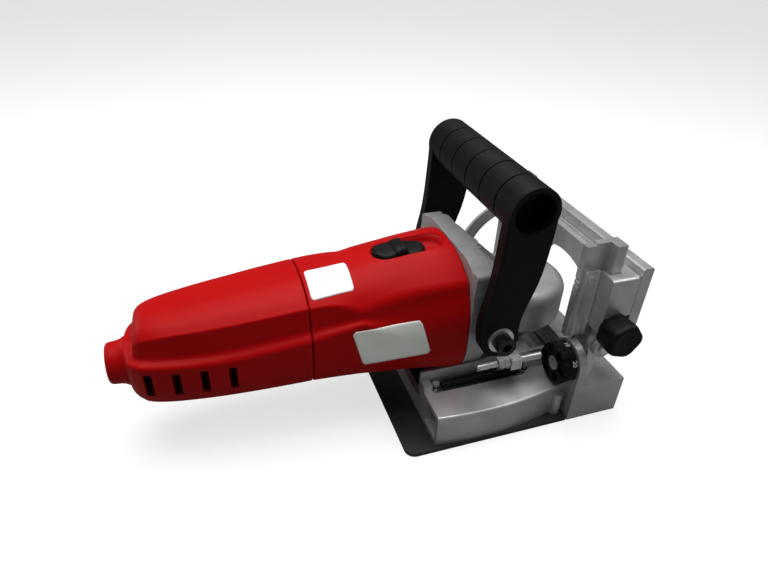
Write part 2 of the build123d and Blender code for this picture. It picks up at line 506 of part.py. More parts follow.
# ---------------------------------------------------------------- motor unit: stops and springs
STOP_LOW, STOP_HIGH = 39.3, 44.0
LUG_REAR, LUG_FRONT = -27.0, -19.0
with BuildPart() as stop_bracket:
    # Arm over the inner wall, lug for the depth rod, finger for the return spring
    block(-27.0, -6.0, -44.0, -27.0, STOP_LOW, STOP_HIGH)
    block(LUG_REAR, LUG_FRONT, -54.0, -44.0, 38.8, 47.2)
    rod_z(SPRING_Z - 3.0, STOP_LOW, SPRING_FRONT, -SPRING_Y, 1.5)
    rod_x(LUG_REAR, LUG_FRONT, DIAL_Y + ROD_OFFSET, DIAL_Z, ROD_R, mode=Mode.SUBTRACT)
    rod_z(STOP_LOW, STOP_HIGH, -17.0, -32.0, 2.0, mode=Mode.SUBTRACT)
stop_bracket.part.label = "stop_bracket"
export_step(stop_bracket.part, "parts/stop_bracket.step")

with BuildPart() as left_spring_bracket:
    block(-17.0, -6.0, 27.0, 44.0, STOP_LOW, STOP_HIGH)
    rod_z(SPRING_Z - 3.0, STOP_LOW, SPRING_FRONT, SPRING_Y, 1.5)
    rod_z(STOP_LOW, STOP_HIGH, -12.0, 32.0, 2.0, mode=Mode.SUBTRACT)
left_spring_bracket.part.label = "left_spring_bracket"
export_step(left_spring_bracket.part, "parts/left_spring_bracket.step")

with BuildPart() as depth_rod:
    rod_x(-51.0, -1.5, DIAL_Y + ROD_OFFSET, DIAL_Z, ROD_R)
    chamfer(depth_rod.edges().filter_by(GeomType.CIRCLE), 0.5)
    block(-51.0, -49.0, DIAL_Y + ROD_OFFSET - 3, DIAL_Y + ROD_OFFSET + 3, DIAL_Z - 0.5, DIAL_Z + 0.5,
          mode=Mode.SUBTRACT)
depth_rod.part.label = "depth_rod"
export_step(depth_rod.part, "parts/depth_rod.step")

with BuildPart() as depth_rod_nuts:
    for nut_x in (-35.6, -31.3):
        hex_x(nut_x, nut_x + 4.0, DIAL_Y + ROD_OFFSET, DIAL_Z, 4.6, mode=Mode.ADD)
        rod_x(nut_x, nut_x + 4.0, DIAL_Y + ROD_OFFSET, DIAL_Z, ROD_R, mode=Mode.SUBTRACT)
depth_rod_nuts.part.label = "depth_rod_nuts"
export_step(depth_rod_nuts.part, "parts/depth_rod_nuts.step")

# ---------------------------------------------------------------- handle
with BuildPart() as handle:
    # Both legs from one side profile, then the hollow-ended grip across them
    with BuildSketch(Plane.XZ.offset(HANDLE_HALF - LEG_THICK)):
        with BuildLine():
            Spline((GRIP_X - GRIP_R, GRIP_Z), (-52.6, 135.0), (-55.0, 108.0), (-58.3, 88.0),
                   (FOOT_X - FOOT_R, FOOT_Z))
            RadiusArc((FOOT_X - FOOT_R, FOOT_Z), (FOOT_X + FOOT_R, FOOT_Z), -FOOT_R)
            Spline((FOOT_X + FOOT_R, FOOT_Z), (-30.6, 88.0), (-24.5, 110.0), (-20.3, 137.0),
                   (GRIP_X + GRIP_R, GRIP_Z))
            Line((GRIP_X + GRIP_R, GRIP_Z), (GRIP_X - GRIP_R, GRIP_Z))
        make_face()
    extrude(amount=LEG_THICK)
    fillet(handle.faces().sort_by(Axis.Y)[0].edges().filter_by(GeomType.BSPLINE), 1.5)
    rod_y(-STUD_Y, -HANDLE_HALF + 1, FOOT_X, FOOT_Z, 9.0)
    mirror(about=Plane.XZ)
    rod_y(-HANDLE_HALF, HANDLE_HALF, GRIP_X, GRIP_Z, GRIP_R - 0.7)
    for ring in range(6):
        ring_y = -HANDLE_HALF + 20.0 * ring
        rod_y(ring_y + (0.6 if ring else 0), ring_y + (19.4 if ring < 5 else 20), GRIP_X, GRIP_Z, GRIP_R)
    for side in (-1, 1):
        rod_y(side * (HANDLE_HALF - 13), side * HANDLE_HALF, GRIP_X, GRIP_Z, GRIP_R - 3.2, mode=Mode.SUBTRACT)
        rod_y(side * STUD_Y, side * HANDLE_HALF, FOOT_X, FOOT_Z, 4.05, mode=Mode.SUBTRACT)
handle.part.label = "handle"
export_step(handle.part, "parts/handle.step")

with BuildPart() as handle_washers:
    for side in (-1, 1):
        rod_y(side * HANDLE_HALF, side * (HANDLE_HALF + 1.4), FOOT_X, FOOT_Z, 8.8)
        rod_y(side * HANDLE_HALF, side * (HANDLE_HALF + 1.4), FOOT_X, FOOT_Z, 4.05, mode=Mode.SUBTRACT)
handle_washers.part.label = "handle_washers"
export_step(handle_washers.part, "parts/handle_washers.step")

BOLT_BASE, BOLT_TOP = HANDLE_HALF + 1.4, HANDLE_HALF + 9.2
with BuildPart() as handle_bolts:
    for side in (-1, 1):
        rod_y(side * 34.0, side * BOLT_BASE, FOOT_X, FOOT_Z, 3.95)
        rod_y(side * BOLT_BASE, side * BOLT_TOP, FOOT_X, FOOT_Z, 6.3)
        rod_y(side * (BOLT_TOP - 3.6), side * BOLT_TOP, FOOT_X, FOOT_Z, 3.0, mode=Mode.SUBTRACT)
handle_bolts.part.label = "handle_bolts"
export_step(handle_bolts.part, "parts/handle_bolts.step")

# ---------------------------------------------------------------- motor casings
HOUSING_SECTIONS = [
    (SEAM_X, 37.0, 39.5, 110.0, 21.0),
    (-125.0, 38.5, 39.0, 112.5, 21.0),
    (-92.0, 42.5, 38.5, 116.5, 21.0),
    (FLANGE_X, 46.5, 36.5, 120.0, 21.0),
]
COVER_SECTIONS = [
    (COVER_END, 16.0, 44.0, 78.0, 13.0),
    (-264.0, 22.5, 40.5, 86.5, 15.0),
    (-256.0, 27.0, 39.0, 96.0, 17.0),
    (-236.0, 31.5, 38.5, 101.5, 19.0),
    (-200.0, 35.0, 38.5, 105.5, 20.0),
    (SEAM_X, 37.0, 39.5, 110.0, 21.0),
]
STATOR_R, STATOR_REAR, STATOR_FRONT = 28.0, -150.0, -90.0
COVER_SCREW_Y, COVER_SCREW_Z = 14.0, 47.4
SWITCH_REAR, SWITCH_FRONT = -111.5, -75.5
RECESS_REAR, RECESS_FRONT, RECESS_FLOOR, SWITCH_HALF = -113.0, -62.5, 112.2, 9.0
with BuildPart() as recess_pad:
    block(-116.0, FLANGE_X, -14.0, 14.0, 109.6, 121.0)
    casing(HOUSING_SECTIONS, grow=-1.0, mode=Mode.INTERSECT)

with BuildPart() as motor_housing:
    casing(HOUSING_SECTIONS)
    casing(HOUSING_SECTIONS, grow=-SHELL, mode=Mode.SUBTRACT)
    block(SEAM_X, SEAM_X + 1, -5, 5, MOTOR_Z - 5, MOTOR_Z + 5, mode=Mode.SUBTRACT)
    # Sleeve that carries the stator, tied to the top, bottom and side walls
    rod_x(STATOR_REAR, STATOR_FRONT, 0, MOTOR_Z, STATOR_R + 2.5)
    block(STATOR_REAR, STATOR_FRONT, -3, 3, 43.0, MOTOR_Z - STATOR_R)
    block(STATOR_REAR, STATOR_FRONT, -36.5, 36.5, MOTOR_Z - 2, MOTOR_Z + 2)
    # Floor of the switch recess
    block(-115.0, -100.0, -12.0, 12.0, MOTOR_Z + STATOR_R + 1, 111.0)
    add(recess_pad.part)
    rod_x(STATOR_REAR - 1, STATOR_FRONT + 1, 0, MOTOR_Z, STATOR_R + 0.02, mode=Mode.SUBTRACT)
    with BuildSketch(Plane.XY.offset(RECESS_FLOOR)):
        with Locations(((RECESS_REAR + RECESS_FRONT) / 2, 0)):
            SlotOverall(RECESS_FRONT - RECESS_REAR, 2 * SWITCH_HALF + 2.6)
    extrude(amount=10, mode=Mode.SUBTRACT)
    # Slot for the switch link and its channel past the stator
    block(-104.0, -88.0, -3.5, 3.5, 104.0, RECESS_FLOOR + 1, mode=Mode.SUBTRACT)
    block(SEAM_X + 5, -85.0, -5.5, 5.5, 104.3, 107.4, mode=Mode.SUBTRACT)
    for screw_y, screw_z in FLANGE_SCREWS:
        rod_x(FLANGE_X - 16, FLANGE_X, screw_y, screw_z, 4.5)
        rib_out = 43.0 if screw_y > 0 else -43.0
        block(FLANGE_X - 16, FLANGE_X, screw_y, rib_out, screw_z - 1.5, screw_z + 1.5)
        rod_x(FLANGE_X - 16, FLANGE_X, screw_y, screw_z, 2.05, mode=Mode.SUBTRACT)
    for screw_y in (-COVER_SCREW_Y, COVER_SCREW_Y):
        rod_x(SEAM_X, -151.0, screw_y, COVER_SCREW_Z, 6.2)
        rod_x(SEAM_X, -151.0, screw_y, COVER_SCREW_Z, 2.05, mode=Mode.SUBTRACT)
motor_housing.part.label = "motor_housing"
export_step(motor_housing.part, "parts/motor_housing.step")

VENT_XS = [-256.5, -241.0, -225.0, -209.0]
with BuildPart() as rear_cover:
    casing(COVER_SECTIONS, straight=True)
    with BuildSketch(Plane.YZ.offset(INLET_END)) as inlet_end:
        with Locations((0, INLET_Z)):
            Circle(INLET_R)
    with BuildSketch(Plane.YZ.offset(COVER_END + 2)) as inlet_root:
        with Locations((0, INLET_Z + 1)):
            Circle(INLET_R + 2.8)
    loft([inlet_end.sketch, inlet_root.sketch])
    fillet(rear_cover.faces().sort_by(Axis.X)[0].edges(), 1.5)
    casing(COVER_SECTIONS[1:], grow=-SHELL, mode=Mode.SUBTRACT, straight=True)
    block(SEAM_X - 1, SEAM_X, -5, 5, MOTOR_Z - 5, MOTOR_Z + 5, mode=Mode.SUBTRACT)
    # Cord inlet, vents, and the web with the rear bearing seat
    rod_x(INLET_END, -255.0, 0, INLET_Z, CORD_R, mode=Mode.SUBTRACT)
    for vent_x in VENT_XS:
        for side in (-1, 1):
            block(vent_x - 1.8, vent_x + 1.8, side * 18.0, side * 40.0, 56.0, 76.0, mode=Mode.SUBTRACT)
    block(REAR_BEARING_X - 3, REAR_BEARING_X, -33.5, 33.5, 54.0, 90.0)
    rod_x(REAR_BEARING_X - 3, REAR_BEARING_X + 8, 0, MOTOR_Z, 12.0)
    rod_x(REAR_BEARING_X, REAR_BEARING_X + 8, 0, MOTOR_Z, 9.52, mode=Mode.SUBTRACT)
    # Seats of the switch and the brush holders, and the screw bosses
    for seat_x, seat_top in ((-191.0, 105.3), (-177.0, 107.0)):
        block(seat_x, seat_x + 5.0, -7.0, 7.0, 103.0, seat_top)
    for side in (-1, 1):
        block(-173.0, -163.0, side * 31.5, side * 35.2, MOTOR_Z - 4.0, MOTOR_Z + 4.0)
    for screw_y in (-COVER_SCREW_Y, COVER_SCREW_Y):
        rod_x(-190.0, SEAM_X, screw_y, COVER_SCREW_Z, 6.2)
        rod_x(-190.0, SEAM_X, screw_y, COVER_SCREW_Z, 2.05, mode=Mode.SUBTRACT)
rear_cover.part.label = "rear_cover"
export_step(rear_cover.part, "parts/rear_cover.step")

with BuildPart() as cover_screws:
    for screw_y in (-COVER_SCREW_Y, COVER_SCREW_Y):
        rod_x(-190.1, SEAM_X + 7, screw_y, COVER_SCREW_Z, 2.0)
        rod_x(-193.0, -190.1, screw_y, COVER_SCREW_Z, 3.8)
        block(-193.0, -192.0, screw_y - 3, screw_y + 3, COVER_SCREW_Z - 0.4, COVER_SCREW_Z + 0.4,
              mode=Mode.SUBTRACT)
cover_screws.part.label = "cover_screws"
export_step(cover_screws.part, "parts/cover_screws.step")

# ---------------------------------------------------------------- electric motor
ARMATURE_R = 17.0
with BuildPart() as stator:
    rod_x(STATOR_REAR + 8, STATOR_FRONT - 8, 0, MOTOR_Z, STATOR_R)
    for end in (STATOR_REAR + 1, STATOR_FRONT - 8):
        rod_x(end, end + 7, 0, MOTOR_Z, 24.5)
    rod_x(STATOR_REAR, STATOR_FRONT, 0, MOTOR_Z, ARMATURE_R + 0.8, mode=Mode.SUBTRACT)
stator.part.label = "stator"
export_step(stator.part, "parts/stator.step")

SHAFT_FRONT = -12.5
with BuildPart() as armature_shaft:
    rod_x(REAR_BEARING_X, -180.0, 0, MOTOR_Z, 4.0)
    rod_x(-180.0, -84.0, 0, MOTOR_Z, 5.0)
    rod_x(-84.0, -30.0, 0, MOTOR_Z, 6.0)
    rod_x(-30.0, SHAFT_FRONT, 0, MOTOR_Z, 4.0)
armature_shaft.part.label = "armature_shaft"
export_step(armature_shaft.part, "parts/armature_shaft.step")

with BuildPart() as armature_core:
    rod_x(-146.0, -94.0, 0, MOTOR_Z, ARMATURE_R)
    for index in range(12):
        angle = radians(30.0 * index)
        slot_y, slot_z = (ARMATURE_R - 1) * cos(angle), MOTOR_Z + (ARMATURE_R - 1) * sin(angle)
        rod_x(-147.0, -93.0, slot_y, slot_z, 1.6, mode=Mode.SUBTRACT)
    rod_x(-152.0, -146.0, 0, MOTOR_Z, 13.5)
    rod_x(-94.0, -88.0, 0, MOTOR_Z, 13.5)
    rod_x(-152.0, -88.0, 0, MOTOR_Z, 5.0, mode=Mode.SUBTRACT)
armature_core.part.label = "armature_core"
export_step(armature_core.part, "parts/armature_core.step")

COMMUTATOR_R = 12.0
with BuildPart() as commutator:
    rod_x(-178.0, -157.0, 0, MOTOR_Z, COMMUTATOR_R)
    rod_x(-159.5, -157.0, 0, MOTOR_Z, COMMUTATOR_R + 2)
    rod_x(-178.0, -157.0, 0, MOTOR_Z, 5.0, mode=Mode.SUBTRACT)
commutator.part.label = "commutator"
export_step(commutator.part, "parts/commutator.step")

FAN_REAR, FAN_FRONT, FAN_R = -83.0, -74.0, 31.0
with BuildPart() as cooling_fan:
    rod_x(FAN_REAR, FAN_REAR + 1.8, 0, MOTOR_Z, FAN_R)
    rod_x(FAN_REAR, FAN_FRONT, 0, MOTOR_Z, 10.0)
    with Locations(Location(((FAN_REAR + FAN_FRONT) / 2, 0, MOTOR_Z), (0, 90, 0))):
        with PolarLocations(20.0, 9):
            Box(19.0, 1.4, FAN_FRONT - FAN_REAR, rotation=(0, 0, 22))
    rod_x(FAN_REAR, FAN_FRONT, 0, MOTOR_Z, 6.0, mode=Mode.SUBTRACT)
cooling_fan.part.label = "cooling_fan"
export_step(cooling_fan.part, "parts/cooling_fan.step")

with BuildPart() as brush_holders:
    for side in (-1, 1):
        block(-173.0, -163.0, side * 14.0, side * 31.5, MOTOR_Z - 6.0, MOTOR_Z + 6.0)
        block(-171.0, -165.0, side * 14.0, side * 30.0, MOTOR_Z - 4.0, MOTOR_Z + 4.0, mode=Mode.SUBTRACT)
brush_holders.part.label = "brush_holders"
export_step(brush_holders.part, "parts/brush_holders.step")

with BuildPart() as carbon_brushes:
    for side in (-1, 1):
        block(-170.8, -165.2, side * (COMMUTATOR_R + 0.3), side * 23.0, MOTOR_Z - 3.8, MOTOR_Z + 3.8)
carbon_brushes.part.label = "carbon_brushes"
export_step(carbon_brushes.part, "parts/carbon_brushes.step")

# ---------------------------------------------------------------- switch
LINK_REAR, LINK_FRONT, LINK_LOW, LINK_HIGH = -167.7, -94.0, 104.6, 105.9
with BuildPart() as switch_slider:
    with BuildSketch(Plane.XY.offset(RECESS_FLOOR + 0.3)):
        with Locations(((SWITCH_REAR + SWITCH_FRONT) / 2, 0)):
            SlotOverall(SWITCH_FRONT - SWITCH_REAR, 2 * SWITCH_HALF)
    extrude(amount=4.6)
    fillet(switch_slider.edges().group_by(Axis.Z)[-1], 1.4)
    # Raised thumb ridge with a step in front of it
    with BuildSketch(Plane.XZ.offset(-7.0)):
        with BuildLine():
            Polyline((-100.0, 116.0), (-94.5, 120.2), (-90.5, 120.2), (-88.5, 116.0), close=True)
        make_face()
    extrude(amount=14.0)
    block(-100.0, -96.0, -3.0, 3.0, LINK_HIGH, RECESS_FLOOR + 0.4)
switch_slider.part.label = "switch_slider"
export_step(switch_slider.part, "parts/switch_slider.step")

with BuildPart() as switch_link:
    block(LINK_REAR, LINK_FRONT, -4.0, 4.0, LINK_LOW, LINK_HIGH)
switch_link.part.label = "switch_link"
export_step(switch_link.part, "parts/switch_link.step")

with BuildPart() as switch_body:
    block(-194.0, -168.0, -9.0, 9.0, 90.5, 103.0)
    fillet(switch_body.edges().filter_by(Axis.X), 1.2)
    block(-187.0, -184.0, 9.0, 12.5, 93.0, 99.0)
    block(-178.0, -175.0, 9.0, 12.5, 93.0, 99.0)
switch_body.part.label = "switch_body"
export_step(switch_body.part, "parts/switch_body.step")

# ---------------------------------------------------------------- gears, spindle and blade
with BuildPart() as drive_pinion:
    rod_x(-29.0, -13.0, 0, MOTOR_Z, 7.0)
    with Locations(Location((-21.0, 0, MOTOR_Z), (0, 90, 0))):
        with PolarLocations(7.6, PINION_TEETH):
            Box(2 * (PINION_TIP_R - 7.6), 2.2, 16.0)
    rod_x(-29.0, -13.0, 0, MOTOR_Z, 4.0, mode=Mode.SUBTRACT)
drive_pinion.part.label = "drive_pinion"
export_step(drive_pinion.part, "parts/drive_pinion.step")

CROWN_LOW = 57.5
with BuildPart() as crown_gear:
    rod_z(CROWN_LOW, CROWN_TIP_Z - 3.0, 0, 0, CROWN_R)
    with Locations((0, 0, CROWN_TIP_Z - 1.6)):
        with PolarLocations(21.5, CROWN_TEETH):
            Box(15.0, 2.1, 3.2)
    rod_z(CROWN_LOW, CROWN_TIP_Z, 0, 0, 9.5)
    rod_z(CROWN_LOW, CROWN_TIP_Z, 0, 0, SPINDLE_R, mode=Mode.SUBTRACT)
    for index in range(8):
        angle = radians(45.0 * index + 22.5)
        rod_z(CROWN_LOW, CROWN_LOW + 4.0, 14.5 * cos(angle), 14.5 * sin(angle), 2.6, mode=Mode.SUBTRACT)
crown_gear.part.label = "crown_gear"
export_step(crown_gear.part, "parts/crown_gear.step")

with BuildPart() as spindle:
    rod_z(3.6, 69.0, 0, 0, SPINDLE_R)
    rod_z(69.0, 79.0, 0, 0, 5.0)
    chamfer(spindle.faces().sort_by(Axis.Z)[0].edges(), 0.6)
spindle.part.label = "spindle"
export_step(spindle.part, "parts/spindle.step")

BLADE_LOW, BLADE_HIGH = BLADE_Z - BLADE_BODY / 2, BLADE_Z + BLADE_BODY / 2
BLADE_BORE = 11.0
with BuildPart() as inner_flange:
    rod_z(BLADE_HIGH, 16.0, 0, 0, 15.0)
    rod_z(BLADE_LOW + 0.2, BLADE_HIGH, 0, 0, BLADE_BORE)
    rod_z(16.0, 25.5, 0, 0, 9.0)
    rod_z(BLADE_LOW + 0.2, 25.5, 0, 0, SPINDLE_R, mode=Mode.SUBTRACT)
inner_flange.part.label = "inner_flange"
export_step(inner_flange.part, "parts/inner_flange.step")

with BuildPart() as blade:
    rod_z(BLADE_LOW, BLADE_HIGH, 0, 0, BLADE_R - 5.0)
    with Locations((0, 0, BLADE_Z)):
        with PolarLocations(BLADE_R - 6.5, TOOTH_COUNT):
            Box(12.0, 9.0, BLADE_BODY, rotation=(0, 0, 12))
        with PolarLocations(BLADE_R - 4.6, TOOTH_COUNT, start_angle=5.5):
            Box(8.0, 2.4, TOOTH_THICK)
    rod_z(BLADE_LOW, BLADE_HIGH, 0, 0, BLADE_BORE, mode=Mode.SUBTRACT)
blade.part.label = "blade"
export_step(blade.part, "parts/blade.step")

with BuildPart() as clamp_nut:
    rod_z(4.0, BLADE_LOW, 0, 0, 14.0)
    for side in (-1, 1):
        rod_z(4.0, 6.4, 0, side * 10.0, 1.8, mode=Mode.SUBTRACT)
    rod_z(4.0, BLADE_LOW, 0, 0, SPINDLE_R, mode=Mode.SUBTRACT)
clamp_nut.part.label = "clamp_nut"
export_step(clamp_nut.part, "parts/clamp_nut.step")

with BuildPart() as lock_button:
    rod_y(32.8, 42.0, 0, LOCK_Z, 3.0)
    rod_y(42.0, 46.5, 0, LOCK_Z, 6.0)
    fillet(lock_button.faces().sort_by(Axis.Y)[-1].edges(), 1.2)
lock_button.part.label = "lock_button"
export_step(lock_button.part, "parts/lock_button.step")

with BuildPart() as lock_spring:
    rod_y(35.2, 42.0, 0, LOCK_Z, 4.9)
    rod_y(35.2, 42.0, 0, LOCK_Z, 3.6, mode=Mode.SUBTRACT)
lock_spring.part.label = "lock_spring"
export_step(lock_spring.part, "parts/lock_spring.step")

# ---------------------------------------------------------------- fence slider
with BuildPart() as fence_slider:
    # Right cheek block round the post
    block(SLIDER_REAR, SLIDER_FRONT, -SLIDER_OUT, -POST_IN - GAP, SLIDER_LOW, SLIDER_TOP)
    fillet(fence_slider.edges().filter_by(Axis.X).group_by(Axis.Z)[-1].sort_by(Axis.Y)[0], 3.0)
    block(POST_REAR - GAP, POST_FRONT + GAP, -POST_OUT - GAP, -POST_IN - GAP, SLIDER_LOW, SLIDER_TOP,
          mode=Mode.SUBTRACT)
    # Recess below the ledge, and the hinge lug
    block(SLIDER_REAR + 3, SLIDER_FRONT, -SLIDER_OUT, -CHEEK_OUT, SLIDER_LOW, LEDGE_Z, mode=Mode.SUBTRACT)
    rod_y(-CHEEK_OUT, -POST_OUT - GAP, HINGE_X, HINGE_Z, 10.0)
    block(HINGE_X - 7, HINGE_X + 9, -CHEEK_OUT, -POST_OUT - GAP, HINGE_Z, SLIDER_LOW)
    rod_y(-CHEEK_OUT, -POST_OUT - GAP, HINGE_X, HINGE_Z, HINGE_R, mode=Mode.SUBTRACT)
    rod_y(-CHEEK_OUT, -POST_OUT - GAP, HINGE_X, HEIGHT_KNOB_Z, 3.05, mode=Mode.SUBTRACT)
    mirror(about=Plane.XZ)
    # Cross bar with the arch
    block(37.0, SLIDER_FRONT, -POST_IN - GAP, POST_IN + GAP, SLIDER_LOW, 109.5)
    rod_x(37.0, SLIDER_FRONT, 0, ARCH_Z, ARCH_R + 2, mode=Mode.SUBTRACT)
    block(39.0, 43.6, -46.0, 46.0, 107.8, 109.5, mode=Mode.SUBTRACT)
    # The left knob hole is not used; the quadrant passes through a curved slot above it
    with BuildSketch(Plane.XZ.offset(-ARC_Y + GAP)):
        with Locations((HINGE_X, HINGE_Z)):
            Circle(ARC_OUT + 0.6)
            Circle(ARC_IN - 0.6, mode=Mode.SUBTRACT)
    extrude(amount=-ARC_THICK - 2 * GAP, mode=Mode.SUBTRACT)
    rod_y(ARC_Y + ARC_THICK + GAP, SLIDER_OUT, HINGE_X, TILT_KNOB_Z, 3.05, mode=Mode.SUBTRACT)
fence_slider.part.label = "fence_slider"
export_step(fence_slider.part, "parts/fence_slider.step")

with BuildPart() as hinge_pins:
    for side in (-1, 1):
        rod_y(side * (POST_OUT + GAP), side * (SLIDER_OUT + 0.3), HINGE_X, HINGE_Z, HINGE_R)
        rod_y(side * (SLIDER_OUT + 0.3), side * (SLIDER_OUT + 2.0), HINGE_X, HINGE_Z, 4.0)
hinge_pins.part.label = "hinge_pins"
export_step(hinge_pins.part, "parts/hinge_pins.step")


def clamp_knob(side, z, tip_y):
    """A lobed knob with its threaded stud along Y, on the right (-1) or left (1)."""
    base = SLIDER_OUT + 0.5
    with BuildPart() as knob:
        rod_y(side * base, side * (base + KNOB_LENGTH), HINGE_X, z, KNOB_R - 1.6)
        for lobe in range(5):
            angle = radians(72.0 * lobe + 18.0)
            lobe_x, lobe_z = HINGE_X + 6.4 * cos(angle), z + 6.4 * sin(angle)
            rod_y(side * (base + 2), side * (base + KNOB_LENGTH - 2), lobe_x, lobe_z, KNOB_R - 6.4)
        rod_y(side * tip_y, side * (base + 1), HINGE_X, z, 3.0)
    return knob.part


height_knob = clamp_knob(-1, HEIGHT_KNOB_Z, POST_OUT + GAP + 0.3)
height_knob.label = "height_knob"
export_step(height_knob, "parts/height_knob.step")

tilt_knob = clamp_knob(1, TILT_KNOB_Z, ARC_Y + ARC_THICK + 0.3)
tilt_knob.label = "tilt_knob"
export_step(tilt_knob, "parts/tilt_knob.step")

# ---------------------------------------------------------------- fence
TAB_LOW, TAB_HIGH, TAB_DEPTH = 97.0, 107.0, 4.0
with BuildPart() as fence:
    block(FENCE_REAR, FRONT_FACE, -SLIDER_OUT, SLIDER_OUT, FENCE_LOW, FENCE_TOP)
    chamfer(fence.edges().filter_by(Axis.Y).group_by(Axis.Z)[-1], 1.0)
    rod_x(FENCE_REAR, FRONT_FACE, 0, ARCH_Z, ARCH_R, mode=Mode.SUBTRACT)
    for side in (-1, 1):
        lug_in, lug_out = side * (CHEEK_OUT + GAP), side * SLIDER_OUT
        rod_y(lug_in, lug_out, HINGE_X, HINGE_Z, 8.0)
        block(HINGE_X, FRONT_FACE, lug_in, lug_out, HINGE_Z - 5, HINGE_Z + 8)
        rod_y(lug_in, lug_out, HINGE_X, HINGE_Z, HINGE_R + 0.05, mode=Mode.SUBTRACT)
    block(FENCE_REAR, FENCE_REAR + TAB_DEPTH, ARC_Y, ARC_Y + ARC_THICK, TAB_LOW, TAB_HIGH, mode=Mode.SUBTRACT)
fence.part.label = "fence"
export_step(fence.part, "parts/fence.step")

ARC_START, ARC_END = 72.0, 186.0
with BuildPart() as angle_quadrant:
    with BuildSketch(Plane.XZ.offset(-ARC_Y)):
        with BuildLine():
            inner = CenterArc((HINGE_X, HINGE_Z), ARC_IN, ARC_START + 4, ARC_END - ARC_START - 4)
            outer = CenterArc((HINGE_X, HINGE_Z), ARC_OUT, ARC_START + 4, ARC_END - ARC_START - 4)
            Line(inner @ 0, outer @ 0)
            Line(inner @ 1, outer @ 1)
        make_face()
    extrude(amount=-ARC_THICK)
    block(43.0, FENCE_REAR + TAB_DEPTH, ARC_Y, ARC_Y + ARC_THICK, TAB_LOW, TAB_HIGH)
    for degree in range(0, 91, 5):
        angle = radians(90.0 + degree)
        depth = 3.2 if degree % 15 == 0 else 2.0
        mark_r = ARC_OUT - depth / 2
        with Locations(Location((HINGE_X + mark_r * cos(angle), ARC_Y, HINGE_Z + mark_r * sin(angle)),
                                (0, -90.0 - degree, 0))):
            Box(depth, 0.5, 0.45, mode=Mode.SUBTRACT)
angle_quadrant.part.label = "angle_quadrant"
export_step(angle_quadrant.part, "parts/angle_quadrant.step")
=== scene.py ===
"""Looks of the biscuit joiner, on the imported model's frame: X forward, Y to the left side, Z up, metres."""

import json
import math

import bmesh
import bpy
from mathutils import Matrix, Vector


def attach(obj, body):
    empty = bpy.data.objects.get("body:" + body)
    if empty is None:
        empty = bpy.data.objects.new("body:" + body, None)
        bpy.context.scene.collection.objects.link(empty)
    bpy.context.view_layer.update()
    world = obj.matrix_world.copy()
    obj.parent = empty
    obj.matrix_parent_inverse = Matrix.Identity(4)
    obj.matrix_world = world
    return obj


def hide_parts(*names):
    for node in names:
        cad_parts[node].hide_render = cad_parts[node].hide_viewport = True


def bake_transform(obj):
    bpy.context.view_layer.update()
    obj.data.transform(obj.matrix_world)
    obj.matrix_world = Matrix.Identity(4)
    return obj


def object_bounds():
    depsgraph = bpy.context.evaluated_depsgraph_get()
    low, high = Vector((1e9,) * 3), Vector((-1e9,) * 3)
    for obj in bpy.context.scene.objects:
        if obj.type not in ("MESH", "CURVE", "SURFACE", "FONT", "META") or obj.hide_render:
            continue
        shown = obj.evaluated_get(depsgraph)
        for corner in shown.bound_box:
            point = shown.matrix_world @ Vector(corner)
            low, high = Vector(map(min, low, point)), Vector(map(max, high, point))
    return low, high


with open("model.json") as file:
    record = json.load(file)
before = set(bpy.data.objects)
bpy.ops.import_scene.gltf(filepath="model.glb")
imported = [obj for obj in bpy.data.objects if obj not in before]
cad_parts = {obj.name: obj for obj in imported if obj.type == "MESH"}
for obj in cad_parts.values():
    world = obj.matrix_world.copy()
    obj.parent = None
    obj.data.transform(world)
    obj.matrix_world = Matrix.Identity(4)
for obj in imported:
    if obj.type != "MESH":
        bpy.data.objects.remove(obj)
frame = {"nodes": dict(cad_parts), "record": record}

NODES = frame["nodes"]
SLOTS = {row["node"]: row["material_slot"] for row in frame["record"]["subparts"]}
MM = 0.001  # pieces are laid out in millimetres; camera, lights and floor are in metres
cad_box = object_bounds()


# ---------------------------------------------------------------- materials
NOISE_ROUGHNESS = 0.55
FINE_DETAIL, DRIFT_DETAIL = 3.0, 4.0
NOISE_LOW, NOISE_HIGH = 0.3, 0.7  # the noise values that reach the two ends of a finish


def object_coords(tree, stretch=(1.0, 1.0, 1.0)):
    """Object coordinates, scaled along each axis."""
    coords = tree.nodes.new("ShaderNodeTexCoord")
    mapping = tree.nodes.new("ShaderNodeMapping")
    mapping.inputs["Scale"].default_value = stretch
    tree.links.new(coords.outputs["Object"], mapping.inputs["Vector"])
    return mapping.outputs["Vector"]


def noise_node(tree, vector, scale, detail):
    """Noise over a vector."""
    node = tree.nodes.new("ShaderNodeTexNoise")
    node.inputs["Scale"].default_value = scale
    node.inputs["Detail"].default_value = detail
    node.inputs["Roughness"].default_value = NOISE_ROUGHNESS
    tree.links.new(vector, node.inputs["Vector"])
    return node.outputs["Fac"]


def tone_node(tree, noise, dark, light):
    """A colour between dark and light that follows a noise."""
    node = tree.nodes.new("ShaderNodeValToRGB")
    for element, place, tint in zip(node.color_ramp.elements, (NOISE_LOW, NOISE_HIGH), (dark, light)):
        element.position = place
        element.color = (*tint, 1.0)
    tree.links.new(noise, node.inputs["Fac"])
    return node.outputs["Color"]


def range_node(tree, value, low, high, from_low=0.0, from_high=1.0):
    """A value mapped from one range to another."""
    node = tree.nodes.new("ShaderNodeMapRange")
    node.inputs["From Min"].default_value = from_low
    node.inputs["From Max"].default_value = from_high
    node.inputs["To Min"].default_value = low
    node.inputs["To Max"].default_value = high
    tree.links.new(value, node.inputs["Value"])
    return node.outputs["Result"]


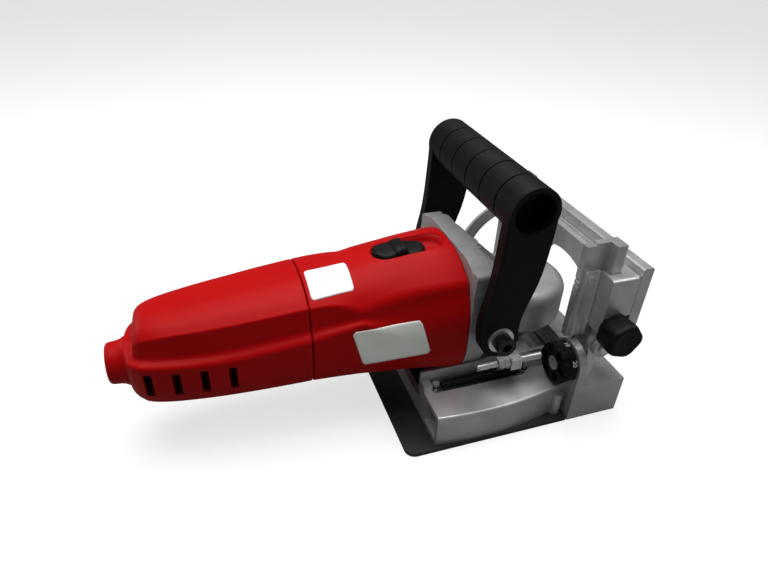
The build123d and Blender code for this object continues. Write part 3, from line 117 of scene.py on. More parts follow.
def bump_node(tree, height, strength, distance):
    """A bump that follows a height."""
    node = tree.nodes.new("ShaderNodeBump")
    node.inputs["Strength"].default_value = strength
    node.inputs["Distance"].default_value = distance
    tree.links.new(height, node.inputs["Height"])
    return node.outputs["Normal"]


def finish(name, dark, light, rough, metallic=0.0, grain=900.0, grain_depth=0.00001, grain_strength=0.3,
           mottle=40.0, stretch=(1.0, 1.0, 1.0), specular=0.5):
    """Colour that drifts between dark and light by a mottle; roughness and bump follow a fine grain."""
    mat = bpy.data.materials.new(name)
    mat.use_nodes = True
    tree = mat.node_tree
    inputs = tree.nodes["Principled BSDF"].inputs
    drift = noise_node(tree, object_coords(tree), mottle, DRIFT_DETAIL)
    fine = noise_node(tree, object_coords(tree, stretch), grain, FINE_DETAIL)
    tree.links.new(tone_node(tree, drift, dark, light), inputs["Base Color"])
    tree.links.new(range_node(tree, fine, *rough, NOISE_LOW, NOISE_HIGH), inputs["Roughness"])
    tree.links.new(bump_node(tree, fine, grain_strength, grain_depth), inputs["Normal"])
    inputs["Metallic"].default_value = metallic
    inputs["Specular IOR Level"].default_value = specular
    return mat


def grey(value, warm=0.0):
    """A grey, warmer by a share."""
    return (value * (1 + warm), value, value * (1 - warm))


FINISHES = {
    "red_plastic": dict(
        dark=(0.36, 0.0010, 0.0014), light=(0.42, 0.0012, 0.0018), rough=(0.42, 0.50), grain_strength=0.08,
        mottle=14.0, specular=0.08),
    "black_plastic": dict(
        dark=grey(0.0030), light=grey(0.0055), rough=(0.42, 0.56), grain=1500.0, grain_depth=0.00002,
        grain_strength=0.2, mottle=60.0, specular=0.12),
    "gear_case_metal": dict(
        dark=grey(0.31), light=grey(0.38), rough=(0.40, 0.52), metallic=0.45, grain=1100.0,
        grain_depth=0.00003, mottle=70.0),
    "cast_aluminium": dict(
        dark=grey(0.44), light=grey(0.58), rough=(0.30, 0.44), metallic=0.72, grain_depth=0.00002,
        mottle=60.0),
    "machined_aluminium": dict(
        dark=grey(0.44), light=grey(0.56), rough=(0.26, 0.38), metallic=0.75, grain=260.0,
        grain_strength=0.25, mottle=30.0, stretch=(1.0, 1.0, 14.0)),
    "black_steel": dict(
        dark=grey(0.003), light=grey(0.006), rough=(0.50, 0.62), grain=1100.0, grain_depth=0.00002,
        grain_strength=0.25, mottle=50.0),
    "steel": dict(
        dark=grey(0.66, 0.01), light=grey(0.76, 0.01), rough=(0.26, 0.34), metallic=0.8, grain=300.0,
        grain_depth=0.000004, grain_strength=0.06),
    "black_screws": dict(
        dark=grey(0.006), light=grey(0.012), rough=(0.26, 0.36), metallic=0.4, grain_strength=0.2,
        mottle=120.0),
    "spring_steel": dict(
        dark=grey(0.010), light=grey(0.02), rough=(0.24, 0.34), metallic=0.6, grain=1200.0,
        grain_strength=0.2, mottle=150.0),
    "scale_metal": dict(
        dark=grey(0.58), light=grey(0.68), rough=(0.28, 0.38), metallic=0.6, grain=240.0,
        grain_strength=0.25, stretch=(1.0, 1.0, 12.0)),
    "bearing_steel": dict(
        dark=grey(0.55), light=grey(0.64), rough=(0.15, 0.24), metallic=1.0, grain=600.0,
        grain_strength=0.15, mottle=100.0),
    "gear_steel": dict(
        dark=grey(0.24), light=grey(0.33), rough=(0.25, 0.4), metallic=0.95, grain=700.0,
        grain_depth=0.00002, grain_strength=0.2, mottle=70.0),
    "blade_steel": dict(
        dark=grey(0.48), light=grey(0.58), rough=(0.2, 0.34), metallic=1.0, grain=160.0, mottle=30.0,
        stretch=(1.0, 9.0, 1.0)),
    "laminations": dict(
        dark=grey(0.10), light=grey(0.17), rough=(0.35, 0.5), metallic=0.8, grain=260.0,
        grain_depth=0.0001, grain_strength=0.5, mottle=60.0, stretch=(9.0, 0.3, 0.3)),
    "copper": dict(
        dark=(0.55, 0.25, 0.12), light=(0.68, 0.34, 0.18), rough=(0.25, 0.4), metallic=1.0, grain=420.0,
        grain_depth=0.00004, grain_strength=0.35, mottle=80.0, stretch=(0.3, 4.0, 4.0)),
    "brass_holder": dict(
        dark=(0.50, 0.36, 0.14), light=(0.60, 0.44, 0.18), rough=(0.25, 0.4), metallic=1.0, grain=500.0,
        grain_depth=0.00005, mottle=80.0),
    "carbon": dict(
        dark=grey(0.02), light=grey(0.035), rough=(0.5, 0.65), grain=1500.0, grain_depth=0.00005,
        mottle=90.0),
    "fan_plastic": dict(
        dark=grey(0.015), light=grey(0.025), rough=(0.45, 0.6), grain=1300.0, grain_depth=0.00005,
        mottle=70.0),
    "label_foil": dict(
        dark=(0.80, 0.83, 0.76), light=(0.88, 0.90, 0.84), rough=(0.30, 0.42), grain=420.0,
        grain_strength=0.2, mottle=35.0, stretch=(1.0, 4.0, 1.0)),
    "sticker_vinyl": dict(
        dark=grey(0.78), light=grey(0.84), rough=(0.30, 0.40), grain=500.0, grain_strength=0.1, mottle=25.0),
    "dial_ink": dict(
        dark=grey(0.55), light=grey(0.70), rough=(0.5, 0.6), grain=2500.0, grain_strength=0.2, mottle=300.0),
}
MATERIALS = {name: finish(name, **values) for name, values in FINISHES.items()}

# ---------------------------------------------------------------- CAD nodes
EDGE_WIDTHS = {
    "base_frame": 0.7, "front_plate": 0.5, "sole_plate": 0.4, "right_upright": 0.4, "left_upright": 0.4,
    "fence": 0.6, "fence_slider": 0.6, "angle_quadrant": 0.2, "height_scale": 0.12, "stop_bracket": 0.6,
    "left_spring_bracket": 0.6, "slide_plate": 0.4, "handle_washers": 0.25, "handle_bolts": 0.6,
    "gear_housing": 0.8, "depth_rod_nuts": 0.3, "hinge_pins": 0.4, "clamp_nut": 0.3, "inner_flange": 0.3,
    "handle": 0.9, "depth_dial": 0.35, "dial_screw": 0.25,
}
PLANAR_ANGLE, BEVEL_ANGLE, SHARP_ANGLE = 0.6, 32.0, 28.0
BEVEL_SEGMENTS = 3


def soften(node, width):
    """Rounds a CAD node's sharp edges with modifiers; its own mesh stays as packed."""
    planar = node.modifiers.new("planar", "DECIMATE")
    planar.decimate_type = "DISSOLVE"
    planar.angle_limit = math.radians(PLANAR_ANGLE)
    bevel = node.modifiers.new("bevel", "BEVEL")
    bevel.width = width * MM
    bevel.segments = BEVEL_SEGMENTS
    bevel.limit_method = "ANGLE"
    bevel.angle_limit = math.radians(BEVEL_ANGLE)
    bevel.use_clamp_overlap = True
    bevel.harden_normals = True


for node_name, node in NODES.items():
    node.data.materials.clear()
    node.data.materials.append(MATERIALS[SLOTS[node_name]])
    for polygon in node.data.polygons:
        polygon.use_smooth = True
    if node_name in EDGE_WIDTHS:
        soften(node, EDGE_WIDTHS[node_name])
    else:
        node.data.set_sharp_from_angle(angle=math.radians(SHARP_ANGLE))


# ---------------------------------------------------------------- mesh helpers
def new_mesh(name, verts, faces):
    """A mesh from vertices in millimetres."""
    mesh = bpy.data.meshes.new(name)
    mesh.from_pydata([tuple(c * MM for c in v) for v in verts], [], faces)
    return mesh


def new_object(name, data):
    """An object in the scene's collection."""
    obj = bpy.data.objects.new(name, data)
    bpy.context.scene.collection.objects.link(obj)
    return obj


def piece(name, verts, faces, material, body, stands_for=()):
    """A new mesh piece in the row frame, riding on a body if one is given."""
    mesh = new_mesh(name, verts, faces)
    mesh.validate()
    mesh.update()
    obj = new_object(name, mesh)
    mesh.materials.append(MATERIALS[material])
    for polygon in mesh.polygons:
        polygon.use_smooth = True
    if body:
        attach(obj, body)
    if stands_for:
        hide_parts(*stands_for)
    return obj


def helper_solid(verts, faces):
    """An unlisted solid used only for a cut."""
    mesh = new_mesh("helper", verts, faces)
    mesh.update()
    outward = bmesh.new()
    outward.from_mesh(mesh)
    bmesh.ops.recalc_face_normals(outward, faces=outward.faces)
    outward.to_mesh(mesh)
    outward.free()
    return new_object("helper", mesh)


def bake(obj):
    """Applies the modifiers, so that helpers can be removed."""
    depsgraph = bpy.context.evaluated_depsgraph_get()
    made = bpy.data.meshes.new_from_object(obj.evaluated_get(depsgraph))
    obj.modifiers.clear()
    obj.data = made
    return obj


def cut(obj, cutters):
    """Cuts solids out of a piece, then removes them."""
    for cutter in cutters:
        boolean = obj.modifiers.new("cut", "BOOLEAN")
        boolean.operation = "DIFFERENCE"
        boolean.solver = "EXACT"
        boolean.object = cutter
    bpy.context.view_layer.update()
    bake(obj)
    for cutter in cutters:
        bpy.data.objects.remove(cutter)
    return obj


def full_turn(steps):
    """The angles of one turn in equal steps."""
    return [2 * math.pi * step / steps for step in range(steps)]


def spaced(start, end, step):
    """Evenly spaced values from start to end, about a step apart."""
    count = max(1, round(abs(end - start) / step))
    return [start + (end - start) * i / count for i in range(count + 1)]


def tube_faces(rings, count, flip=False):
    """Quads between successive closed rings of equal count."""
    faces = []
    for r in range(rings - 1):
        here, ahead = r * count, (r + 1) * count
        for c in range(count):
            after = (c + 1) % count
            quad = [here + c, here + after, ahead + after, ahead + c]
            faces.append(quad[::-1] if flip else quad)
    return faces


def end_faces(rings, count, first_reversed=True):
    """The two faces that close a tube's first and last ring."""
    first, last = list(range(count)), list(range((rings - 1) * count, rings * count))
    return [first[::-1], last] if first_reversed else [first, last[::-1]]


def grid_faces(columns, rows):
    """Quads of a grid whose vertices run along each column in turn."""
    faces = []
    for i in range(columns):
        for j in range(rows):
            a = i * (rows + 1) + j
            faces.append([a, a + rows + 1, a + rows + 2, a + 1])
    return faces


def prism(points, z0, z1):
    """A vertical prism over a ring of (x, y) points."""
    count = len(points)
    verts = [(x, y, z0) for x, y in points] + [(x, y, z1) for x, y in points]
    return verts, tube_faces(2, count) + end_faces(2, count)


def stadium(x0, x1, half, steps):
    """A slot outline along X with round ends."""
    ring = []
    for centre, start in ((x1 - half, -math.pi / 2), (x0 + half, math.pi / 2)):
        for step in range(steps + 1):
            angle = start + math.pi * step / steps
            ring.append((centre + half * math.cos(angle), half * math.sin(angle)))
    return ring


# ---------------------------------------------------------------- red casings
# x, top, crease half width, crease height, ledge height, ledge foot, side half width, bottom, crease softness
COVER_STATIONS = [
    (-269.5, 76.2, 9.0, 75.4, 74.8, 72.4, 15.0, 46.0, 1.4),
    (-268.2, 77.0, 12.0, 76.2, 75.6, 73.4, 19.0, 43.2, 1.6),
    (-265.4, 77.8, 15.0, 77.0, 76.4, 74.4, 22.8, 41.2, 1.6),
    (-263.6, 79.4, 15.6, 78.2, 76.8, 74.8, 24.4, 40.6, 1.4),
    (-262.6, 86.0, 16.4, 83.6, 77.0, 75.0, 25.2, 40.2, 1.2),
    (-260.6, 92.0, 18.0, 87.0, 77.2, 75.1, 26.6, 39.6, 1.1),
    (-256.0, 95.6, 20.2, 89.4, 77.3, 75.1, 28.2, 39.0, 1.0),
    (-248.0, 97.6, 22.4, 91.2, 77.3, 75.1, 30.1, 38.7, 1.0),
    (-238.0, 98.8, 24.0, 92.6, 77.3, 74.8, 31.6, 38.5, 1.0),
    (-222.0, 101.4, 26.2, 94.2, 77.7, 74.8, 33.4, 38.4, 1.0),
    (-205.0, 103.4, 27.8, 95.8, 79.0, 75.6, 34.7, 38.5, 1.0),
    (-185.0, 105.8, 29.2, 98.0, 81.4, 77.8, 35.9, 38.9, 1.0),
    (-160.3, 108.4, 30.2, 100.6, 84.6, 81.2, 37.0, 39.6, 1.0),
]
HOUSING_STATIONS = [
    (-159.7, 108.4, 30.2, 100.6, 84.6, 81.2, 37.0, 39.6, 1.0),
    (-146.0, 109.4, 31.2, 101.0, 86.8, 84.4, 37.6, 39.4, 1.2),
    (-136.0, 110.4, 33.0, 99.0, 88.4, 86.6, 38.2, 39.2, 2.4),
    (-128.0, 111.2, 34.4, 96.0, 89.8, 88.0, 38.7, 39.0, 5.0),
    (-118.0, 113.2, 35.0, 98.6, 89.4, 84.0, 40.0, 38.9, 8.0),
    (-104.0, 115.2, 35.4, 102.0, 92.0, 80.0, 41.6, 38.7, 6.0),
    (-90.0, 116.8, 36.0, 104.4, 95.0, 80.0, 43.2, 38.2, 4.5),
    (-75.0, 118.0, 37.0, 105.8, 98.0, 82.0, 45.0, 37.3, 4.5),
    (-59.2, 119.0, 38.0, 107.0, 100.0, 84.0, 46.4, 36.6, 4.5),
]
WALL = 2.6
FLATTENING_X, FLATTENING_LENGTH = -125.0, 30.0  # the top turns from crowned to flat over this stretch
CORNER_STEPS = 6
CORNER_SHARE = 0.49  # the most that one rounded corner takes of an edge


def smooth_between(stations, x):
    """The station values at x, on a smooth curve through the stations (Catmull-Rom)."""
    xs = [s[0] for s in stations]
    i = max(0, min(len(xs) - 2, sum(1 for v in xs if v <= x) - 1))
    t = (x - xs[i]) / (xs[i + 1] - xs[i])
    before, after = max(0, i - 1), min(len(xs) - 1, i + 2)
    values = []
    for k in range(1, len(stations[0])):
        p1, p2 = stations[i][k], stations[i + 1][k]
        m1 = (p2 - stations[before][k]) / (xs[i + 1] - xs[before]) * (xs[i + 1] - xs[i])
        m2 = (stations[after][k] - p1) / (xs[after] - xs[i]) * (xs[i + 1] - xs[i])
        values.append((2 * t**3 - 3 * t**2 + 1) * p1 + (t**3 - 2 * t**2 + t) * m1
                      + (3 * t**2 - 2 * t**3) * p2 + (t**3 - t**2) * m2)
    return values


def half_outline(stations, x):
    """One half of a casing section, as (out, up) from top centre to bottom centre, its corners rounded."""
    top, spine, crease, ledge, foot, side, bottom, soft = smooth_between(stations, x)
    step = side - spine
    flat = max(0.0, min(1.0, (x - FLATTENING_X) / FLATTENING_LENGTH))
    corners = [  # out, up, reach of the rounding
        (0.0, top, 0.0),
        (spine * 0.30, top - 0.1, 7.0),
        (spine * (0.72 - 0.10 * flat), top - (top - crease) * (0.36 - 0.02 * flat), 9.0),
        (spine, crease, soft),
        (spine + step * 0.24, ledge, 2.4 + 6.0 * flat),
        (side, foot, 2.6 + 7.0 * flat),
        (side - 0.6, bottom + 15.0, 10.0),
        (side - 4.6, bottom + 4.6, 6.0),
        (side - 14.0, bottom, 7.0),
        (0.0, bottom, 0.0),
    ]
    points = [corners[0][:2]]
    for (*before, _), (*corner, wish), (*after, _) in zip(corners, corners[1:], corners[2:]):
        here = Vector(corner)
        back, ahead = Vector(before) - here, Vector(after) - here
        reach = min(wish, back.length * CORNER_SHARE, ahead.length * CORNER_SHARE)
        start, end = here + back.normalized() * reach, here + ahead.normalized() * reach
        for k in range(CORNER_STEPS + 1):
            t = k / CORNER_STEPS
            points.append(tuple((1 - t) ** 2 * start + 2 * t * (1 - t) * here + t**2 * end))
    points.append(corners[-1][:2])
    return points


def casing_ring(stations, x, inset=0.0):
    """A whole casing section as (y, z) points, moved inwards by an inset."""
    half = half_outline(stations, x)
    ring = [(-y, z) for y, z in half] + [(y, z) for y, z in half[-2:0:-1]]
    if not inset:
        return ring
    moved = []
    for i, point in enumerate(ring):
        along = (Vector(ring[(i + 1) % len(ring)]) - Vector(ring[i - 1])).normalized()
        moved.append(tuple(Vector(point) + Vector((-along.y, along.x)) * inset))
    return moved


def casing_shell(name, stations, rings, node_name):
    """Outer skin, inner skin and rims; rings holds (x, lip), and a lip pulls its outer ring inwards."""
    count = len(casing_ring(stations, rings[0][0]))
    verts = []
    for x, lip in rings:
        verts += [(x, y, z) for y, z in casing_ring(stations, x, lip)]
    for x, _ in reversed(rings):
        verts += [(x, y, z) for y, z in casing_ring(stations, x, WALL)]
    faces = tube_faces(2 * len(rings), count, flip=True)
    last = (2 * len(rings) - 1) * count
    faces += [[(c + 1) % count, c, last + c, last + (c + 1) % count] for c in range(count)]
    return piece(name, verts, faces, "red_plastic", "motor_unit", [node_name])


RECESS_REAR, RECESS_FRONT, RECESS_HALF = -113.0, -62.5, 10.3


def motor_housing_shell():
    """The front casing, its top open under the switch."""
    rear_lip = [(-159.7, 0.9), (-159.55, 0.35), (-159.2, 0.05)]
    front_lip = [(-59.6, 0.1), (-59.2, 0.5)]
    rings = rear_lip + [(x, 0.0) for x in spaced(-158.4, -60.2, 1.6)] + front_lip
    shell = casing_shell("motor_housing_shell", HOUSING_STATIONS, rings, "motor_housing")
    opening = stadium(RECESS_REAR, RECESS_FRONT, RECESS_HALF, 16)
    below, above = 100.0, 130.0
    return cut(shell, [helper_solid(*prism(opening, below, above))])


def casing_top(x, y):
    """The height of the front casing's top."""
    half = half_outline(HOUSING_STATIONS, x)
    for (y0, z0), (y1, z1) in zip(half, half[1:]):
        if y0 <= abs(y) <= y1 and y1 > y0:
            return z0 + (z1 - z0) * (abs(y) - y0) / (y1 - y0)
    return half[0][1]


def switch_recess():
    """Wall and floor of the switch recess, following the casing's top."""
    steps, wall = 20, 0.9
    wall_foot, floor_rim, floor_z = 110.4, 112.9, 112.2
    outer_drop, inner_drop = 0.6, 0.35
    centre_x, shrink_x, shrink_y = -88.0, 0.97, 0.93
    outer = stadium(RECESS_REAR - wall, RECESS_FRONT + wall, RECESS_HALF + wall, steps)
    inner = stadium(RECESS_REAR, RECESS_FRONT, RECESS_HALF, steps)
    verts = [(x, y, wall_foot) for x, y in outer]
    verts += [(x, y, casing_top(x, y) - outer_drop) for x, y in outer]
    verts += [(x, y, casing_top(x, y) - inner_drop) for x, y in inner]
    verts += [(x, y, floor_rim) for x, y in inner]
    verts += [(centre_x + (x - centre_x) * shrink_x, y * shrink_y, floor_z) for x, y in inner]
    rings, count = 5, len(inner)
    faces = tube_faces(rings, count) + end_faces(rings, count)[::-1]
    return piece("switch_recess", verts, faces, "red_plastic", "motor_unit")


VENT_XS = (-257.2, -241.2, -225.2, -208.8)
VENT_LOW, VENT_HIGH, VENT_HALF = 53.0, 70.0, 2.3


def vent_cutter(x, side):
    """An upright slot with chamfered ends through one side wall."""
    rise, run = 0.8, 0.5
    near, far = 14.0, 42.0
    low_end = [(-VENT_HALF, VENT_LOW + rise), (run - VENT_HALF, VENT_LOW)]
    high_end = [(VENT_HALF, VENT_HIGH - rise), (VENT_HALF - run, VENT_HIGH)]
    ring = low_end + [(-a, z) for a, z in low_end[::-1]] + high_end + [(-a, z) for a, z in high_end[::-1]]
    verts = [(x + a, side * y, z) for y in (near, far) for a, z in ring]
    return helper_solid(verts, tube_faces(2, len(ring)) + end_faces(2, len(ring)))


def rear_cover_shell():
    """The rear casing with its four vents on each side."""
    rear_lip = [(-269.5, 0.5), (-269.1, 0.1), (-268.6, 0.0), (-268.0, 0.0), (-267.2, 0.0)]
    front_lip = [(-160.9, 0.1), (-160.6, 0.4), (-160.3, 0.9)]
    xs = spaced(-266.2, -256.0, 0.6) + spaced(-254.0, -162.0, 2.0)
    rings = rear_lip + [(x, 0.0) for x in xs] + front_lip
    shell = casing_shell("rear_cover_shell", COVER_STATIONS, rings, "rear_cover")
    return cut(shell, [vent_cutter(x, side) for x in VENT_XS for side in (-1, 1)])


def rear_cap():
    """The domed rear wall that closes the cover."""
    domes = ((-269.5, 0.5), (-270.1, 1.8), (-270.5, 4.0), (-270.7, 7.0))
    verts = []
    for x, inset in domes:
        verts += [(x, y, z) for y, z in casing_ring(COVER_STATIONS, COVER_STATIONS[0][0], inset)]
    count = len(verts) // len(domes)
    middle, rim = len(verts), len(verts) - count
    verts.append((-270.8, 0.0, 63.0))
    faces = tube_faces(len(domes), count)
    faces += [[rim + c, rim + (c + 1) % count, middle] for c in range(count)]
    return piece("rear_cap", verts, faces, "red_plastic", "motor_unit")


def cord_inlet_boss():
    """The stepped boss round the cord inlet, turned about an axis along X."""
    axis_z, steps = 62.0, 64
    profile = [  # x, radius
        (-262.0, 16.4), (-268.4, 16.0), (-270.4, 15.2), (-272.0, 14.2), (-274.5, 13.6),
        (-278.6, 13.2), (-280.0, 12.8), (-280.8, 11.8), (-281.0, 10.6),
        (-281.0, 5.8), (-280.5, 4.8), (-279.4, 4.5), (-262.0, 4.5),
    ]
    verts = []
    for x, radius in profile + profile[:1]:
        verts += [(x, radius * math.cos(a), axis_z + radius * math.sin(a)) for a in full_turn(steps)]
    faces = [[v % (len(profile) * steps) for v in quad] for quad in tube_faces(len(profile) + 1, steps)]
    return piece("cord_inlet_boss", verts[:-steps], faces, "red_plastic", "motor_unit")


motor_housing_shell()
switch_recess()
rear_cover_shell()
rear_cap()
cord_inlet_boss()


# ---------------------------------------------------------------- labels on the casing
LABEL_THICKNESS, LABEL_LIFT, LABEL_CORNER = 0.12, 0.12, 2.2
LABEL_COLUMNS, LABEL_ROWS = 28, 20


def on_casing(x, place, by_height):
    """A point over the near side; place is a height on the side wall, or millimetres from top centre."""
    half = [Vector(p) for p in half_outline(HOUSING_STATIONS, x)]
    left = place
    for a, b in zip(half, half[1:]):
        length = (b - a).length
        if length == 0.0:
            continue
        if by_height:
            share = (a.y - place) / (a.y - b.y) if a.y > b.y else -1.0
            found = a.y >= place >= b.y and 0.0 <= share <= 1.0
        else:
            share = left / length
            found = share <= 1.0
            left -= length
        if found:
            spot = a.lerp(b, share) + Vector((-(b - a).y, (b - a).x)).normalized() * LABEL_LIFT
            return (x, -spot.x, spot.y)
    return (x, -half[-1].x, half[-1].y)


def label(name, rear_edge, front_edge, lean, material, by_height):
    """A thin rounded sheet on the near side; each edge is (x, place of one end, place of the other)."""
    (x0, low0, high0), (x1, low1, high1) = rear_edge, front_edge
    verts = []
    for i in range(LABEL_COLUMNS + 1):
        u = i / LABEL_COLUMNS
        x = x0 + (x1 - x0) * u
        low, high = low0 + (low1 - low0) * u, high0 + (high1 - high0) * u
        inward = min(x - x0, x1 - x, LABEL_CORNER)
        pull = LABEL_CORNER - math.sqrt(max(0.0, LABEL_CORNER**2 - (LABEL_CORNER - inward) ** 2))
        low, high = (low + pull, high - pull) if low < high else (low - pull, high + pull)
        for j in range(LABEL_ROWS + 1):
            v = j / LABEL_ROWS
            verts.append(on_casing(x + lean * v, low + (high - low) * v, by_height))
    sheet = piece(name, verts, grid_faces(LABEL_COLUMNS, LABEL_ROWS), material, "motor_unit")
    thick = sheet.modifiers.new("thick", "SOLIDIFY")
    thick.thickness = LABEL_THICKNESS * MM
    thick.offset = 0.0
    return bake(sheet)


label("rating_label", (-128.8, 55.5, 83.5), (-84.4, 59.6, 86.0), -6.5, "label_foil", True)
label("plain_sticker", (-157.6, 27.0, 0.5), (-130.4, 25.6, 0.5), 0.3, "sticker_vinyl", False)


# ---------------------------------------------------------------- switch slider
def switch_cap():
    """A thumb slider: low rounded ends, a raised ridge with grip grooves, a flat pad in front."""
    half, floor_z = 9.0, 112.5
    profile = [  # x, height over the floor
        (-111.5, 2.6), (-109.5, 4.3), (-104.0, 4.0), (-99.5, 4.6), (-96.4, 6.8), (-94.6, 7.7), (-91.4, 7.7),
        (-90.4, 7.0), (-90.0, 4.8), (-88.6, 3.9), (-79.0, 3.9), (-76.4, 3.5), (-75.5, 2.4),
    ]
    rear, front = profile[0][0], profile[-1][0]
    groove_rear, groove_front, groove_width, groove_depth = -96.0, -91.0, 0.8, 0.35
    side_power, crown_power = 0.55, 0.45  # below 1, so that the section is squarer than an ellipse
    columns, rows = spaced(rear + 0.05, front - 0.05, 0.4), 22

    def height(x):
        """The slider's height over the floor, eased from one profile point to the next."""
        for (x0, h0), (x1, h1) in zip(profile, profile[1:]):
            if x0 <= x <= x1:
                t = (x - x0) / (x1 - x0)
                return h0 + (h1 - h0) * t * t * (3 - 2 * t)
        return profile[-1][1]

    verts = []
    for x in columns:
        end = min(x - rear, front - x, half)
        width = math.sqrt(max(0.0, half**2 - (half - end) ** 2))
        grooved = groove_rear < x < groove_front and int((x - groove_rear) / groove_width) % 2
        groove = groove_depth if grooved else 0.0
        for k in range(rows + 1):
            angle = math.pi * k / rows
            y = -width * math.copysign(abs(math.cos(angle)) ** side_power, math.cos(angle))
            rise = math.sin(angle) ** crown_power
            verts.append((x, y, floor_z + (height(x) - groove * rise) * rise))
    starts = [i * (rows + 1) for i in range(len(columns))]
    underside = starts + [start + rows for start in reversed(starts)]
    faces = grid_faces(len(columns) - 1, rows) + [underside]
    return piece("switch_cap", verts, faces, "black_plastic", "switch", ["switch_slider"])


switch_cap()


# ---------------------------------------------------------------- knobs, rod and springs
KNOB_X, KNOB_FOOT, KNOB_TIP = 33.0, 69.5, 86.4
KNOB_RADIUS, KNOB_LOBE, KNOB_LOBES, KNOB_STEPS = 12.3, 0.65, 5, 90
HEIGHT_KNOB_Z, TILT_KNOB_Z = 74.5, 103.5
STUD_END, STUD_PITCH, STUD_STEPS = 69.8, 1.0, 24
STUD_TIP, STUD_PLAIN, STUD_ROOT, STUD_CREST = 2.2, 2.9, 2.55, 2.95  # radii


def turned_on_y(name, rings, side, z, steps, material, body, stands_for=()):
    """A closed form about an axis along Y; rings holds (y, radius at an angle)."""
    verts = []
    for y, radius in rings:
        for angle in full_turn(steps):
            reach = radius(angle)
            verts.append((KNOB_X + reach * math.cos(angle), side * y, z + reach * math.sin(angle)))
    count, flip = len(rings), side < 0
    faces = tube_faces(count, steps, flip) + end_faces(count, steps, first_reversed=flip)
    return piece(name, verts, faces, material, body, stands_for)


def lobed_knob(name, side, z, node_name, body):
    """A soft five-lobed knob with a dished face."""
    profile = [  # y, share of the full radius
        (KNOB_FOOT, 0.80), (KNOB_FOOT + 0.4, 0.90), (KNOB_FOOT + 1.4, 0.95), (KNOB_FOOT + 5.0, 0.97),
        (KNOB_TIP - 5.0, 1.0), (KNOB_TIP - 2.6, 1.0), (KNOB_TIP - 1.2, 0.975), (KNOB_TIP - 0.4, 0.92),
        (KNOB_TIP, 0.84), (KNOB_TIP - 0.15, 0.72), (KNOB_TIP - 0.55, 0.60), (KNOB_TIP - 0.6, 0.30),
        (KNOB_TIP - 0.6, 0.02),
    ]

    def lobed(share):
        """The radius at an angle, with lobes that fade where the knob narrows."""
        lobe = KNOB_LOBE * min(1.0, share * share)
        return lambda angle: share * (KNOB_RADIUS + lobe * math.cos(KNOB_LOBES * angle))

    rings = [(y, lobed(share)) for y, share in profile]
    return turned_on_y(name, rings, side, z, KNOB_STEPS, "black_plastic", body, [node_name])


def stud(name, side, z, inner, body):
    """The threaded stud of a knob."""
    thread_start, half_pitch = inner + 0.6, STUD_PITCH / 2
    profile = [(inner, STUD_TIP), (thread_start, STUD_PLAIN)]
    for i in range(int((STUD_END - thread_start) / half_pitch)):
        profile.append((thread_start + half_pitch * i, STUD_ROOT if i % 2 else STUD_CREST))
    profile.append((STUD_END, STUD_PLAIN))
    rings = [(y, lambda angle, radius=radius: radius) for y, radius in profile]
    return turned_on_y(name, rings, side, z, STUD_STEPS, "steel", body)


lobed_knob("height_knob_grip", -1, HEIGHT_KNOB_Z, "height_knob", "height_lock")
lobed_knob("tilt_knob_grip", 1, TILT_KNOB_Z, "tilt_knob", "tilt_lock")
stud("height_knob_stud", -1, HEIGHT_KNOB_Z, 61.6, "height_lock")
stud("tilt_knob_stud", 1, TILT_KNOB_Z, 65.9, "tilt_lock")


def threaded_rod():
    """The depth rod: a helical thread between plain ends, with a slot across its rear end."""
    start, end, axis_y, axis_z = -51.0, -1.5, -49.0, 43.0
    core, thread, flank, run_out = 2.1, 0.4, 0.26, 0.9
    steps, pitch = 28, 1.0
    xs = [start] + spaced(start + 0.4, end - 0.4, pitch / 8) + [end]
    verts = []
    for x in xs:
        for step, angle in enumerate(full_turn(steps)):
            phase = (x / pitch - step / steps) % 1.0
            fade = max(0.0, min(1.0, (x - start) / run_out, (end - x) / run_out))
            radius = core + (thread - flank * abs(2 * phase - 1)) * fade
            verts.append((x, axis_y + radius * math.cos(angle), axis_z + radius * math.sin(angle)))
    faces = tube_faces(len(xs), steps) + end_faces(len(xs), steps)
    rod = piece("threaded_rod", verts, faces, "steel", "motor_unit", ["depth_rod"])
    slot_rear, slot_front, reach, half = start - 0.4, start + 1.4, 3.0, 0.5
    corners = [(-reach, -half), (reach, -half), (reach, half), (-reach, half)]
    slot = [(x, axis_y + y, axis_z + z) for x in (slot_rear, slot_front) for y, z in corners]
    return cut(rod, [helper_solid(slot, tube_faces(2, 4) + end_faces(2, 4))])


threaded_rod()


TINY = 1e-4  # below this, a cross product gives no direction


def hook(anchor, outward, across):
    """The open loop of wire at a spring's end."""
    radius, half_sweep, step = 2.1, 150, 20
    angles = [math.radians(degrees) for degrees in range(-half_sweep, half_sweep + 1, step)]
    return [anchor + (outward * math.cos(a) + across * math.sin(a)) * radius for a in angles]


